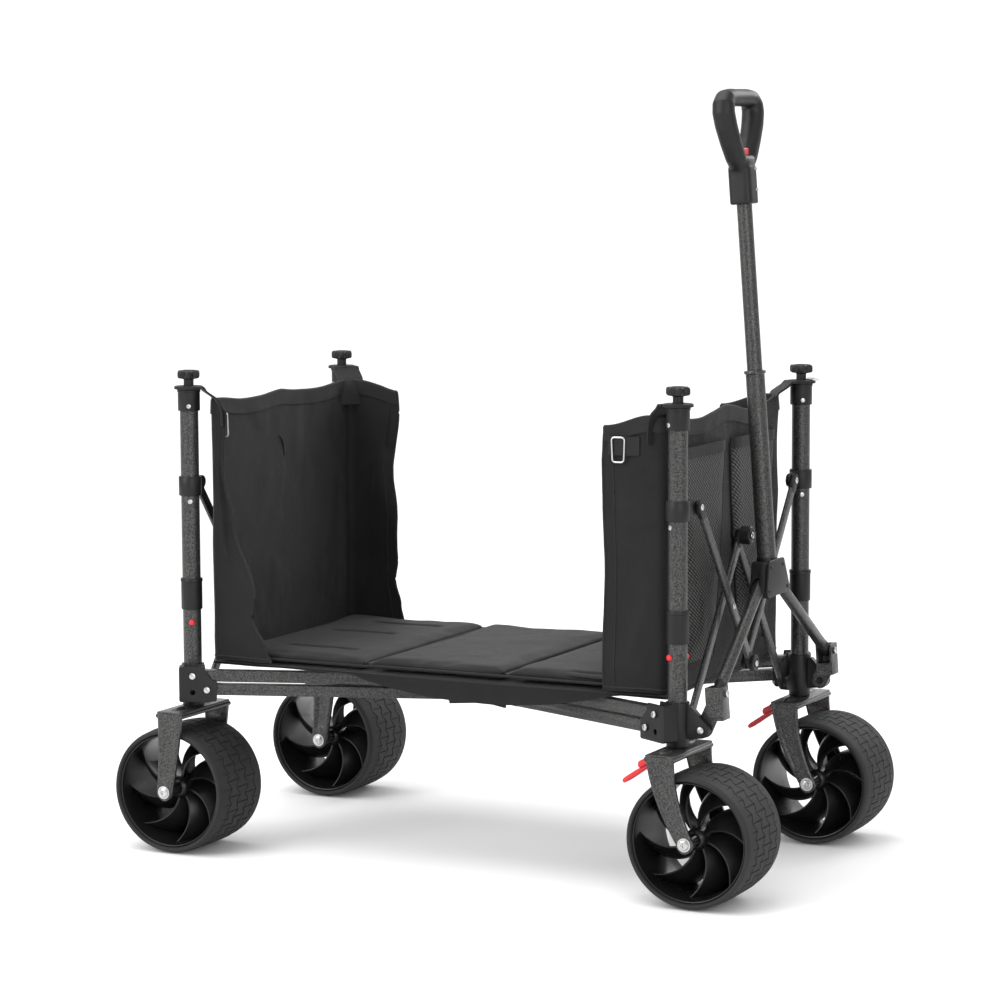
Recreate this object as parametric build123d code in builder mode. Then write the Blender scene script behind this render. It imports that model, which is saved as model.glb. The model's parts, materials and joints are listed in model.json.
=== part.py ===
from build123d import *
import math
import os

# Folding utility wagon with four lockable corner posts, a fabric body and a telescopic pull handle.
# +X points to the handle end, +Y to the wagon's left side, +Z up. Millimetres.
# The origin lies on the floor under the middle of the wheels' footprint.

os.makedirs("parts", exist_ok=True)

# ---- driving dimensions -------------------------------------------------------------------
wheelbase = 750.0        # between the front and rear posts
track = 440.0            # between the left and right posts
hub_x = -14.0            # centre of the folding frame
wheel_radius = 90.0
tyre_width = 116.0
rear_axle_shift = -10.0  # rear axle behind its post
front_axle_shift = 38.0  # front axle ahead of its post, the casters' trail
post_radius = 13.0
running_gap = 0.06       # radial clearance of a pin or tube that moves in its bore

fork_top = 205.7
neck_bottom = 206.0
bracket_bottom = 216.0
bracket_top = 266.0
post_bottom = 232.0
post_top = 640.0
sleeve_bottom = 344.0
sleeve_top = 388.0
collar_bottom = 506.0
collar_top = 533.0
stop_screw_z = 498.0
snap_button_z = 326.0
cap_bottom = 626.0
cap_top = 656.0
knob_top = 683.0

arm_offset = 25.0        # floor bars' centre plane beside the post axis
bar_size = 16.0
bar_drop = 13.0          # the hub sits this much lower than the corners
upper_pivot_z = 253.0
lower_shift = 20.0       # lower pivot: this far inward and this far down from the upper one
hub_pivot = 60.0         # upper pivots' distance from the hub's centre line

link_reach = 180.0       # end links' outer pins, from the centre plane
link_low_z = 228.0
collar_pin_z = 521.0
centre_high_z = 463.0
centre_low_z = 286.0
link_width = 14.0
link_thick = 6.0
# how far along a link its crossing with the other one of its pair lies
crossing_share = (collar_pin_z - link_low_z) / (collar_pin_z - centre_low_z + centre_high_z - link_low_z)
link_planes = {"a": 14.0, "b": -2.0, "c": 6.0, "d": -10.0}  # outward from the posts' axes

ear_reach = 35.0         # handle pivot ahead of the front posts
ear_z = 231.0
handle_lean = 4.16       # degrees back from upright
handle_offset = 16.6     # handle plane ahead of its pivot
strut_radius = 8.0
strut_foot_y = 200.0
strut_foot_up = 46.0     # along the handle plane, from the pivot's height
strut_head_y = 20.0
strut_head_up = 175.7
outer_tube_radius = 13.0
inner_tube_radius = 10.5
outer_tube_top = 460.0   # along the handle plane
grip_bottom = 686.0
grip_top = 842.0
grip_width = 132.0
grip_half = 16.5         # half its thickness, front to back

fabric = 4.0
bag_bottom = 268.5
bag_top = 640.0
bag_half_width = 202.0
flap_length = 92.0
mat_thickness = 16.0

# ---- worked-out places --------------------------------------------------------------------
rear_x = hub_x - wheelbase / 2
front_x = hub_x + wheelbase / 2
yoke_back_x = front_x + 23.8
half_track = track / 2
diagonal = math.hypot(wheelbase / 2, half_track)
along_x = (wheelbase / 2) / diagonal
along_y = half_track / diagonal
lean = math.radians(handle_lean)
handle_x = front_x + ear_reach + handle_offset

corners = {
    "rear_right": (-1, -1),
    "rear_left": (-1, 1),
    "front_right": (1, -1),
    "front_left": (1, 1),
}


def save(builder, name):
    builder.part.label = name
    export_step(builder.part, "parts/" + name + ".step")


def post_place(sx, sy):
    return (hub_x + sx * wheelbase / 2, sy * half_track)


def inward(sx, sy):
    return (-sx * along_x, -sy * along_y)


def outboard(sx, sy):
    return (-sx * along_y, sy * along_x)


def arm_plane(sx, sy, offset=arm_offset):
    """Upright plane of a floor bar: x runs inward from the post, y is up, both from the floor."""
    x, y = post_place(sx, sy)
    ex, ey = inward(sx, sy)
    nx, ny = outboard(sx, sy)
    return Plane(
        origin=(x + nx * offset, y + ny * offset, 0),
        x_dir=(ex, ey, 0),
        z_dir=(ey, -ex, 0),
    )


def outboard_sign(sx, sy):
    """+1 where the arm plane's normal points outboard."""
    return 1 if sx * sy > 0 else -1


def end_plane(sx, plane_offset):
    """Upright plane across the wagon at an end: x is +Y, y is up, normal is +X."""
    x = hub_x + sx * (wheelbase / 2 + plane_offset)
    return Plane(origin=(x, 0, 0), x_dir=(0, 1, 0), z_dir=(1, 0, 0))


def handle_plane(offset=0.0):
    """The leaning plane of the handle: x is +Y, y runs up the pole, normal points forward."""
    normal = Vector(math.cos(lean), 0, math.sin(lean))
    origin = Vector(handle_x, 0, ear_z) + normal * offset
    return Plane(origin=origin, x_dir=(0, 1, 0), z_dir=normal)


def wheel_plane(sx, sy):
    """Upright plane through a wheel's middle: x is +X, y is up, normal is -Y."""
    x, y = post_place(sx, sy)
    shift = front_axle_shift if sx > 0 else rear_axle_shift
    return Plane(origin=(x + shift, y, wheel_radius), x_dir=(1, 0, 0), z_dir=(0, -1, 0))


# ---- wheels -------------------------------------------------------------------------------
rim_radius = 80.94
rim_wall = 4.0
rim_half_width = 52.0
hub_radius = 14.0
hub_half_width = 61.0
axle_radius = 4.0
spokes = 8
web_half = 20.0
window_turn = 8.0        # degrees from the blades to the open windows between them


def make_tyre(sx, sy, name):
    half = tyre_width / 2
    shoulder = [
        (rim_radius + 0.06, half - 5),
        (rim_radius + 2, half - 1),
        (wheel_radius - 4, half),
        (wheel_radius - 1, half - 4),
        (wheel_radius, half - 18),
    ]
    outline = shoulder + [(r, -w) for r, w in reversed(shoulder)]
    x, y = post_place(sx, sy)
    shift = front_axle_shift if sx > 0 else rear_axle_shift
    with BuildPart() as tyre:
        with BuildSketch(Plane(origin=(x + shift, y, wheel_radius), x_dir=(1, 0, 0), z_dir=(0, 0, 1))):
            with BuildLine():
                Polyline(*outline, close=True)
            make_face()
        revolve(axis=Axis((x + shift, y, wheel_radius), (0, 1, 0)))
    save(tyre, name)


def make_rim(sx, sy, name):
    middle = wheel_plane(sx, sy)
    web_outer = rim_radius - rim_wall + 1
    with BuildPart() as rim:
        with BuildSketch(middle):
            Circle(rim_radius)
            Circle(rim_radius - rim_wall, mode=Mode.SUBTRACT)
        extrude(amount=rim_half_width, both=True)
        with BuildSketch(middle):
            Circle(web_outer)
        extrude(amount=web_half, both=True)
        with BuildSketch(middle):
            Circle(hub_radius)
        extrude(amount=hub_half_width, both=True)
        with BuildSketch(middle):
            with PolarLocations((hub_radius + web_outer) / 2 + 2, spokes, start_angle=window_turn):
                SlotOverall(46, 22)
        extrude(amount=web_half + 1, both=True, mode=Mode.SUBTRACT)
        with BuildSketch(middle):
            Circle(axle_radius + running_gap)
        extrude(amount=hub_half_width + 1, both=True, mode=Mode.SUBTRACT)
    save(rim, name)


# ---- forks and brakes ---------------------------------------------------------------------
fork_inner = 62.0
fork_plate = 4.0
crown_half = 20.5
knee_radius = 18.0
knee_z = 150.0
stem_radius = 6.0
stem_top = 226.0
arm_end_radius = 12.7
axle_head_radius = 7.5
front_crown_shift = 2.0
brake_pin_x = -16.0
brake_pin_z = 191.0
brake_pin_radius = 3.0
brake_lug_y = 25.5


def side_plane(sx, sy, shift_y=0.0):
    """Upright plane through a post's axis: x is +X from the post, y is up from the floor."""
    x, y = post_place(sx, sy)
    return Plane(origin=(x, y + shift_y, 0), x_dir=(1, 0, 0), z_dir=(0, -1, 0))


def make_fork(sx, sy, name):
    x, y = post_place(sx, sy)
    shift = front_axle_shift if sx > 0 else rear_axle_shift
    crown_shift = front_crown_shift if sx > 0 else 0.0
    middle = side_plane(sx, sy)
    with BuildPart() as fork:
        # side arms, tapering down to the axle
        with BuildSketch(middle):
            with Locations((crown_shift, fork_top - 6)):
                Rectangle(2 * crown_half, 12)
            with Locations((shift * 0.2, knee_z)):
                Circle(knee_radius)
            make_hull()
        extrude(amount=fork_inner + fork_plate, both=True)
        with BuildSketch(middle):
            with Locations((shift * 0.2, knee_z)):
                Circle(knee_radius)
            with Locations((shift, wheel_radius)):
                Circle(arm_end_radius)
            make_hull()
        extrude(amount=fork_inner + fork_plate, both=True)
        with BuildSketch(middle):
            with Locations((shift / 2, (fork_top - fork_plate) / 2)):
                Rectangle(200, fork_top - fork_plate)
        extrude(amount=fork_inner, both=True, mode=Mode.SUBTRACT)
        with BuildSketch(middle):
            with Locations((shift, wheel_radius)):
                Circle(axle_radius + 0.05)
        extrude(amount=fork_inner + fork_plate + 1, both=True, mode=Mode.SUBTRACT)
        # swivel stem
        with BuildSketch(Plane.XY.offset(fork_top - 1)):
            with Locations((x, y)):
                Circle(stem_radius)
        extrude(amount=stem_top - fork_top + 1)
        # lugs under the crown that hold the brake lever's pin
        if sx > 0:
            for side in (-1, 1):
                with BuildSketch(side_plane(sx, sy, side * brake_lug_y)):
                    with Locations((brake_pin_x, 193)):
                        Rectangle(12, 18)
                    with Locations((brake_pin_x, brake_pin_z)):
                        Circle(brake_pin_radius + running_gap, mode=Mode.SUBTRACT)
                extrude(amount=1.5, both=True)
        # axle bolt with its two heads
        with BuildSketch(middle):
            with Locations((shift, wheel_radius)):
                Circle(axle_radius)
        extrude(amount=fork_inner + fork_plate + 1, both=True)
        for side in (-1, 1):
            with BuildSketch(side_plane(sx, sy, side * (fork_inner + fork_plate + 3.1))):
                with Locations((shift, wheel_radius)):
                    Circle(axle_head_radius)
            extrude(amount=3, both=True)
    save(fork, name)


def make_brake_lever(sx, sy, name):
    paddle = [(-14, 197), (-24, 196), (-50, 184), (-53, 179), (-51, 173), (-74, 160), (-77, 154), (-72, 151), (-44, 163), (-20, 184)]
    with BuildPart() as lever:
        with BuildSketch(side_plane(sx, sy)):
            with Locations((brake_pin_x, brake_pin_z)):
                Circle(6)
        extrude(amount=brake_lug_y - 2, both=True)
        with BuildSketch(side_plane(sx, sy)):
            with BuildLine():
                Polyline(*paddle, close=True)
            make_face()
        extrude(amount=13, both=True)
        with BuildSketch(side_plane(sx, sy)):
            with Locations((brake_pin_x, brake_pin_z)):
                Circle(brake_pin_radius)
        extrude(amount=brake_lug_y + 3, both=True)
    save(lever, name)


# ---- corner posts and brackets ------------------------------------------------------------
socket_radius = 16.0
arm_wall = 3.0
arm_gap = bar_size / 2 + 0.5
arm_half = arm_gap + arm_wall
pin_radius = 3.0
pin_head_radius = 5.0
pin_head = 2.5
strap_hole_radius = 3.8
strap_hole_z = 229.5
lug_thick = 6.4
ear_inner_y = 214.5
ear_outer_y = 224.0


def make_post(sx, sy, name):
    x, y = post_place(sx, sy)
    across = arm_plane(sx, sy, 0)
    with BuildPart() as post:
        with BuildSketch(Plane.XY.offset(post_bottom)):
            with Locations((x, y)):
                Circle(post_radius)
                Circle(post_radius - 1.5, mode=Mode.SUBTRACT)
        extrude(amount=post_top - post_bottom)
        # snap buttons and stop screws through the tube
        for z, reach, size in ((snap_button_z, 4.0, 4.0), (stop_screw_z, 2.5, 3.2)):
            with BuildSketch(across):
                with Locations((0, z)):
                    Circle(size)
            extrude(amount=post_radius + reach, both=True)
        # fixed sleeve
        with BuildSketch(Plane.XY.offset(sleeve_bottom)):
            with Locations((x, y)):
                Circle(post_radius + 2)
                Circle(post_radius + 0.05, mode=Mode.SUBTRACT)
        extrude(amount=sleeve_top - sleeve_bottom)
        # cap over the tube's end, with its side screws and the knob's socket
        with BuildSketch(Plane.XY.offset(cap_bottom)):
            with Locations((x, y)):
                Circle(post_radius + 2.5)
                Circle(post_radius + 0.05, mode=Mode.SUBTRACT)
        extrude(amount=post_top + 0.1 - cap_bottom)
        with BuildSketch(Plane.XY.offset(post_top + 0.1)):
            with Locations((x, y)):
                Circle(post_radius + 2.5)
                Circle(4 + running_gap, mode=Mode.SUBTRACT)
        extrude(amount=cap_top - post_top - 0.1)
        for side in (-1, 1):
            with BuildSketch(arm_plane(sx, sy, side * (post_radius + 0.5))):
                with Locations((0, (cap_bottom + post_top) / 2)):
                    Circle(3.2)
            extrude(amount=3.5 * side * outboard_sign(sx, sy))
    save(post, name)


def make_bracket(sx, sy, name):
    x, y = post_place(sx, sy)
    middle = arm_plane(sx, sy)
    ear_middle = sy * ((ear_inner_y + ear_outer_y) / 2 - half_track)
    ear_half = (ear_outer_y - ear_inner_y) / 2
    lug = link_lug(sx, sy, "b" if sy < 0 else "d", link_low_z, outer_side=True)
    with BuildPart() as bracket:
        # post socket and swivel neck
        with BuildSketch(Plane.XY.offset(bracket_bottom)):
            with Locations((x, y)):
                Circle(socket_radius)
        extrude(amount=bracket_top - bracket_bottom)
        with BuildSketch(Plane.XY.offset(neck_bottom)):
            with Locations((x, y)):
                Circle(socket_radius - 1)
        extrude(amount=bracket_bottom - neck_bottom + 1)
        # channel that holds the two floor bars
        with BuildSketch(middle):
            with Locations((7.5, (bracket_bottom + bracket_top) / 2)):
                RectangleRounded(53, bracket_top - bracket_bottom, 3)
        extrude(amount=arm_half, both=True)
        with BuildSketch(middle):
            with Locations((36, 262)):
                Rectangle(96, 80)
        extrude(amount=arm_gap, both=True, mode=Mode.SUBTRACT)
        # cut corner of the channel's walls, over the bars
        with BuildSketch(middle):
            with BuildLine():
                Polyline((17, 267), (18, 259), (27, 247), (36, 243), (36, 267), close=True)
            make_face()
        extrude(amount=arm_half + 1, both=True, mode=Mode.SUBTRACT)
        # bores of the post and of the swivel stem
        with BuildSketch(Plane.XY.offset(post_bottom)):
            with Locations((x, y)):
                Circle(post_radius + 0.05)
        extrude(amount=100, mode=Mode.SUBTRACT)
        with BuildSketch(Plane.XY.offset(neck_bottom)):
            with Locations((x, y)):
                Circle(stem_radius + running_gap)
        extrude(amount=22, mode=Mode.SUBTRACT)
        # bar pins with their heads
        for s, z in ((0, upper_pivot_z), (lower_shift, upper_pivot_z - lower_shift)):
            with BuildSketch(middle):
                with Locations((s, z)):
                    Circle(pin_radius)
            extrude(amount=arm_half, both=True)
            with BuildSketch(arm_plane(sx, sy, arm_offset + arm_half)):
                with Locations((s, z)):
                    Circle(pin_head_radius)
            extrude(amount=pin_head * outboard_sign(sx, sy))
        # open hole in the outer wall
        with BuildSketch(arm_plane(sx, sy, arm_offset + arm_gap)):
            with Locations((0, strap_hole_z)):
                Circle(strap_hole_radius)
        extrude(amount=arm_wall * 2 * outboard_sign(sx, sy), mode=Mode.SUBTRACT)
        add(lug)
        # forward ear of the pull handle, with its pivot pin
        if sx > 0:
            with BuildSketch(side_plane(sx, sy, ear_middle)):
                with Locations((socket_radius + 1, 240)):
                    Rectangle(6, 44)
                with Locations((ear_reach, ear_z)):
                    Circle(11)
                make_hull()
            extrude(amount=ear_half, both=True)
            with BuildSketch(side_plane(sx, sy, ear_middle)):
                with Locations((ear_reach, ear_z)):
                    Circle(4)
            extrude(amount=sy * (ear_half + 8))
            with BuildSketch(side_plane(sx, sy, ear_middle)):
                with Locations((ear_reach, ear_z)):
                    Circle(pin_head_radius)
            extrude(amount=-sy * (ear_half + 2))
    save(bracket, name)


def link_lug(sx, sy, link, z, outer_side):
    """Lug that reaches inboard from a post, with the pin that an end link turns on."""
    reach = 1 if outer_side else -1
    side = sx * reach
    face = link_planes[link] + (link_thick / 2 + 0.6) * reach
    with BuildPart() as lug:
        with BuildSketch(end_plane(sx, face)):
            with Locations((sy * (half_track - post_radius - 4), z)):
                Rectangle(8, 20)
            with Locations((sy * link_reach, z)):
                Circle(9)
            make_hull()
        extrude(amount=lug_thick * side)
        with BuildSketch(end_plane(sx, face)):
            with Locations((sy * link_reach, z)):
                Circle(pin_radius)
        extrude(amount=-(link_thick + 2.2) * side)
        with BuildSketch(end_plane(sx, face - (link_thick + 1.2) * reach)):
            with Locations((sy * link_reach, z)):
                Circle(pin_head_radius)
        extrude(amount=-1.6 * side)
    return lug.part


def make_collar(sx, sy, name):
    x, y = post_place(sx, sy)
    lug = link_lug(sx, sy, "a" if sy < 0 else "c", collar_pin_z, outer_side=False)
    with BuildPart() as collar:
        with BuildSketch(Plane.XY.offset(collar_bottom)):
            with Locations((x, y)):
                Circle(socket_radius)
        extrude(amount=collar_top - collar_bottom)
        add(lug)
        with BuildSketch(Plane.XY.offset(collar_bottom - 5)):
            with Locations((x, y)):
                Circle(post_radius + running_gap)
        extrude(amount=collar_top - collar_bottom + 10, mode=Mode.SUBTRACT)
    save(collar, name)


def make_knob(sx, sy, name):
    x, y = post_place(sx, sy)
    lobes = 5
    with BuildPart() as knob:
        with BuildSketch(Plane.XY.offset(cap_top + 12)):
            with Locations((x, y)):
                Circle(13)
                with PolarLocations(11.5, lobes):
                    Circle(5.5)
        extrude(amount=knob_top - cap_top - 12)
        with BuildSketch(Plane.XY.offset(cap_top + 0.3)):
            with Locations((x, y)):
                Circle(8)
        extrude(amount=12)
        with BuildSketch(Plane.XY.offset(cap_top - 18)):
            with Locations((x, y)):
                Circle(4)
        extrude(amount=20)
    save(knob, name)


# ---- floor bars and hub -------------------------------------------------------------------
bar_angle = math.asin(bar_drop / (diagonal - hub_pivot))
hub_bottom = 208.0
hub_top = 257.0


def make_floor_bar(sx, sy, name, shift):
    start = (shift, upper_pivot_z - shift)
    run = diagonal - hub_pivot
    end = (shift + run, upper_pivot_z - shift - bar_drop)
    with BuildPart() as bar:
        with BuildSketch(arm_plane(sx, sy)):
            with Locations(start, end):
                Circle(bar_size / 2)
            make_hull()
            with Locations(start, end):
                Circle(pin_radius + running_gap, mode=Mode.SUBTRACT)
        extrude(amount=bar_size / 2, both=True)
    save(bar, name)


def make_hub():
    core_radius = 30.0
    high_z = upper_pivot_z - bar_drop
    height = hub_top - hub_bottom
    with BuildPart() as hub:
        with BuildSketch(Plane.XY.offset(hub_bottom)):
            with Locations((hub_x, 0)):
                Circle(core_radius)
        extrude(amount=height)
        for sx, sy in corners.values():
            with BuildSketch(arm_plane(sx, sy)):
                with Locations((diagonal - 46, hub_bottom + height / 2)):
                    Rectangle(52, height)
            extrude(amount=arm_half, both=True)
        for sx, sy in corners.values():
            with BuildSketch(arm_plane(sx, sy)):
                with Locations((diagonal - 66, hub_bottom + (height - 7) / 2 - 5)):
                    Rectangle(78, height + 3)
            extrude(amount=arm_gap, both=True, mode=Mode.SUBTRACT)
        for sx, sy in corners.values():
            for s, z in ((hub_pivot, high_z), (hub_pivot - lower_shift, high_z - lower_shift)):
                with BuildSketch(arm_plane(sx, sy)):
                    with Locations((diagonal - s, z)):
                        Circle(pin_radius)
                extrude(amount=arm_half + 1.5, both=True)
    save(hub, "centre_hub")


# ---- end links ----------------------------------------------------------------------------
def make_end_link(sx, link, name):
    right = link in ("a", "b")
    y_outer = -link_reach if right else link_reach
    top_hung = link in ("a", "c")
    outer = (y_outer, collar_pin_z if top_hung else link_low_z)
    centre = (0, centre_low_z if top_hung else centre_high_z)
    plane_offset = link_planes[link]
    with BuildPart() as part:
        with BuildSketch(end_plane(sx, plane_offset)):
            with Locations(outer, centre):
                Circle(link_width / 2 + 1)
            make_hull()
            with Locations(outer):
                Circle(pin_radius + running_gap, mode=Mode.SUBTRACT)
        extrude(amount=link_thick / 2, both=True)
        # joint bosses on the free faces
        boss_face = end_plane(sx, plane_offset + link_thick / 2 - 0.5)
        if link == "a":
            with BuildSketch(boss_face):
                with Locations(centre):
                    Circle(12)
            extrude(amount=6 * sx)
        if link == "b":
            with BuildSketch(boss_face):
                with Locations(centre):
                    Circle(13)
            extrude(amount=16 * sx)
        if link == "c":
            crossing = (outer[0] * (1 - crossing_share), outer[1] + (centre[1] - outer[1]) * crossing_share)
            with BuildSketch(boss_face):
                with Locations(crossing):
                    Circle(8)
            extrude(amount=8 * sx)
    save(part, name)


# ---- pull handle --------------------------------------------------------------------------
cheek_gap = strut_radius + 0.7
cheek = 3.0


def make_handle_clevis(sy, name):
    foot = (sy * strut_foot_y, strut_foot_up)
    with BuildPart() as clevis:
        # block around the strut's foot
        with BuildSketch(handle_plane()):
            with Locations((sy * (strut_foot_y + 1.5), strut_foot_up - 12)):
                Rectangle(25, 44)
        extrude(amount=cheek_gap + cheek, both=True)
        with BuildSketch(handle_plane()):
            with Locations((sy * (strut_foot_y - 3), strut_foot_up + 3)):
                Rectangle(24, 40)
        extrude(amount=cheek_gap, both=True, mode=Mode.SUBTRACT)
        # tongue back to the bracket's ear
        ear_plane = side_plane(1, sy, sy * (211.5 - half_track))
        with BuildSketch(ear_plane):
            with Locations((ear_reach, ear_z)):
                Circle(11.5)
            with Locations((ear_reach + handle_offset - 4, ear_z + 28)):
                Circle(11)
            make_hull()
            with Locations((ear_reach, ear_z)):
                Circle(4 + running_gap, mode=Mode.SUBTRACT)
        extrude(amount=2.2, both=True)
        # strut pin
        with BuildSketch(handle_plane()):
            with Locations(foot):
                Circle(pin_radius)
        extrude(amount=cheek_gap + cheek, both=True)
        with BuildSketch(handle_plane(cheek_gap + cheek)):
            with Locations(foot):
                Circle(pin_head_radius)
        extrude(amount=pin_head)
    save(clevis, name)


def make_handle_strut(sy, name):
    foot = (sy * strut_foot_y, strut_foot_up)
    head = (sy * strut_head_y, strut_head_up)
    run = math.hypot(head[0] - foot[0], head[1] - foot[1])
    frame = handle_plane()
    start = frame.from_local_coords(Vector(foot[0], foot[1], 0))
    finish = frame.from_local_coords(Vector(head[0], head[1], 0))
    with BuildPart() as strut:
        with BuildSketch(Plane(origin=start, z_dir=finish - start)):
            Circle(strut_radius)
        extrude(amount=run)
        with BuildSketch(frame):
            with Locations(foot, head):
                Circle(strut_radius)
        extrude(amount=strut_radius, both=True)
        with BuildSketch(frame):
            with Locations(foot, head):
                Circle(pin_radius + running_gap)
        extrude(amount=strut_radius + 1, both=True, mode=Mode.SUBTRACT)
    save(strut, name)


def make_handle_yoke():
    half_depth = 15.0
    core_bottom = strut_head_up + strut_radius + 1.5
    core_top = 205.0
    outline = [(-44, 152), (44, 152), (26, 201), (-26, 201)]
    with BuildPart() as yoke:
        with BuildSketch(handle_plane()):
            with BuildLine():
                Polyline(*outline, close=True)
            make_face()
        extrude(amount=half_depth, both=True)
        with BuildSketch(handle_plane()):
            with Locations((0, core_bottom - 50)):
                Rectangle(100, 100)
        extrude(amount=cheek_gap, both=True, mode=Mode.SUBTRACT)
        socket = handle_plane()
        origin = socket.from_local_coords(Vector(0, core_bottom, 0))
        pole = Plane(origin=origin, x_dir=(0, 1, 0), z_dir=socket.y_dir)
        with BuildSketch(pole):
            Circle(outer_tube_radius + 3.5)
        extrude(amount=core_top - core_bottom)
        # flat back that clears the folded link joint
        with Locations((yoke_back_x - 30, 0, origin.Z)):
            Box(60, 120, 120, mode=Mode.SUBTRACT)
        for side in (-1, 1):
            with BuildSketch(handle_plane()):
                with Locations((side * strut_head_y, strut_head_up)):
                    Circle(pin_radius)
            extrude(amount=half_depth, both=True)
        # outer tube with its flange ring, bored for the inner tube
        with BuildSketch(pole):
            Circle(outer_tube_radius)
        extrude(amount=outer_tube_top - core_bottom)
        with BuildSketch(pole.offset(outer_tube_top - core_bottom - 7)):
            Circle(outer_tube_radius + 4)
        extrude(amount=8)
        with BuildSketch(pole.offset(8)):
            Circle(inner_tube_radius + running_gap + 0.04)
        extrude(amount=400, mode=Mode.SUBTRACT)
    save(yoke, "handle_yoke")


def pole_plane(up):
    frame = handle_plane()
    origin = frame.from_local_coords(Vector(0, up, 0))
    return Plane(origin=origin, x_dir=(0, 1, 0), z_dir=frame.y_dir)


def make_inner_tube():
    bottom = outer_tube_top - 45
    with BuildPart() as tube:
        with BuildSketch(pole_plane(bottom)):
            Circle(inner_tube_radius)
            Circle(inner_tube_radius - 1.5, mode=Mode.SUBTRACT)
        extrude(amount=grip_bottom + 30 - bottom)
    save(tube, "handle_inner_tube")


trigger_half = 9.0
trigger_low = 745.0
trigger_high = 762.0
trigger_travel = 6.0


def make_grip():
    shoulder = grip_width / 2 - 16
    with BuildPart() as grip:
        with BuildSketch(handle_plane()):
            with Locations((-shoulder, grip_top - 16), (shoulder, grip_top - 16)):
                Circle(16)
            with Locations((-9, 742), (9, 742)):
                Circle(10)
            make_hull()
        extrude(amount=grip_half, both=True)
        with BuildSketch(handle_plane()):
            with Locations((-30, grip_top - 38), (30, grip_top - 38)):
                Circle(9)
            with Locations((-6, 758), (6, 758)):
                Circle(8)
            make_hull()
        extrude(amount=grip_half + 1, both=True, mode=Mode.SUBTRACT)
        with BuildSketch(pole_plane(grip_bottom)):
            Circle(17)
        extrude(amount=50)
        with BuildSketch(pole_plane(grip_bottom)):
            Circle(inner_tube_radius + 0.05)
        extrude(amount=30, mode=Mode.SUBTRACT)
        # pocket of the release trigger
        with BuildSketch(handle_plane()):
            with Locations((0, trigger_low - trigger_travel + 12)):
                Rectangle(2 * trigger_half + 0.6, 26)
        extrude(amount=8.3, both=True, mode=Mode.SUBTRACT)
    save(grip, "handle_grip")


def make_trigger():
    with BuildPart() as trigger:
        with BuildSketch(handle_plane()):
            with Locations((0, (trigger_low + trigger_high) / 2)):
                RectangleRounded(2 * trigger_half, trigger_high - trigger_low, 3)
        extrude(amount=8, both=True)
    save(trigger, "grip_trigger")


# ---- fabric body and floor mat ------------------------------------------------------------
rear_wall_x = rear_x + 20.0
front_wall_x = front_x - 24.0


def make_end_wall(x, facing, name):
    """End wall with short flaps along both sides, open towards the middle of the wagon."""
    with BuildPart() as wall:
        with BuildSketch(Plane.XY.offset(bag_bottom)):
            with Locations((x + facing * flap_length / 2, 0)):
                Rectangle(flap_length, 2 * bag_half_width)
            with Locations((x + facing * (flap_length / 2 + fabric), 0)):
                Rectangle(flap_length, 2 * (bag_half_width - fabric), mode=Mode.SUBTRACT)
        extrude(amount=bag_top - bag_bottom)
    save(wall, name)


def make_bag_floor():
    start = rear_wall_x + 0.5
    finish = front_wall_x - 0.5
    sag_start = -150.0
    sag_end = 245.0
    sag_low = 234.0
    floor_bottom = 263.5
    with BuildPart() as floor:
        with BuildSketch(Plane.XY.offset(floor_bottom)):
            with Locations(((start + finish) / 2, 0)):
                Rectangle(finish - start, 2 * (bag_half_width - fabric - 1))
        extrude(amount=fabric)
        for side in (-1, 1):
            edge = Plane(origin=(0, side * (bag_half_width - 8), 0), x_dir=(1, 0, 0), z_dir=(0, -1, 0))
            with BuildSketch(edge):
                with BuildLine():
                    ThreePointArc((sag_start, floor_bottom + 1), (60, sag_low), (sag_end, floor_bottom + 1))
                    Line((sag_end, floor_bottom + 1), (sag_start, floor_bottom + 1))
                make_face()
            extrude(amount=fabric / 2, both=True)
    save(floor, "bag_floor")


def make_mat():
    start = rear_wall_x + fabric + 4
    finish = front_wall_x - fabric - 4
    with BuildPart() as mat:
        with BuildSketch(Plane.XY.offset(bag_bottom)):
            with Locations(((start + finish) / 2, 0)):
                RectangleRounded(finish - start, 2 * (bag_half_width - fabric - 4), 12)
        extrude(amount=mat_thickness)
    save(mat, "floor_mat")


# ---- build every piece --------------------------------------------------------------------
for corner, (side_x, side_y) in corners.items():
    make_tyre(side_x, side_y, "tyre_" + corner)
    make_rim(side_x, side_y, "rim_" + corner)
    make_fork(side_x, side_y, "fork_" + corner)
    make_post(side_x, side_y, "post_" + corner)
    make_bracket(side_x, side_y, "corner_bracket_" + corner)
    make_collar(side_x, side_y, "sliding_collar_" + corner)
    make_knob(side_x, side_y, "knob_" + corner)
    make_floor_bar(side_x, side_y, "upper_bar_" + corner, 0.0)
    make_floor_bar(side_x, side_y, "lower_bar_" + corner, lower_shift)
    if side_x > 0:
        make_brake_lever(side_x, side_y, "brake_lever_" + corner)

make_hub()

for end, side_x in (("rear", -1), ("front", 1)):
    make_end_link(side_x, "a", end + "_link_right_high")
    make_end_link(side_x, "b", end + "_link_right_low")
    make_end_link(side_x, "c", end + "_link_left_high")
    make_end_link(side_x, "d", end + "_link_left_low")

for hand, side_y in (("right", -1), ("left", 1)):
    make_handle_clevis(side_y, "handle_clevis_" + hand)
    make_handle_strut(side_y, "handle_strut_" + hand)

make_handle_yoke()
make_inner_tube()
make_grip()
make_trigger()
make_end_wall(rear_wall_x, 1, "bag_rear_wall")
make_end_wall(front_wall_x, -1, "bag_front_wall")
make_bag_floor()
make_mat()
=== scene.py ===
import json
import math
import bpy
import bmesh
from mathutils import Matrix, Vector, noise


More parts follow.
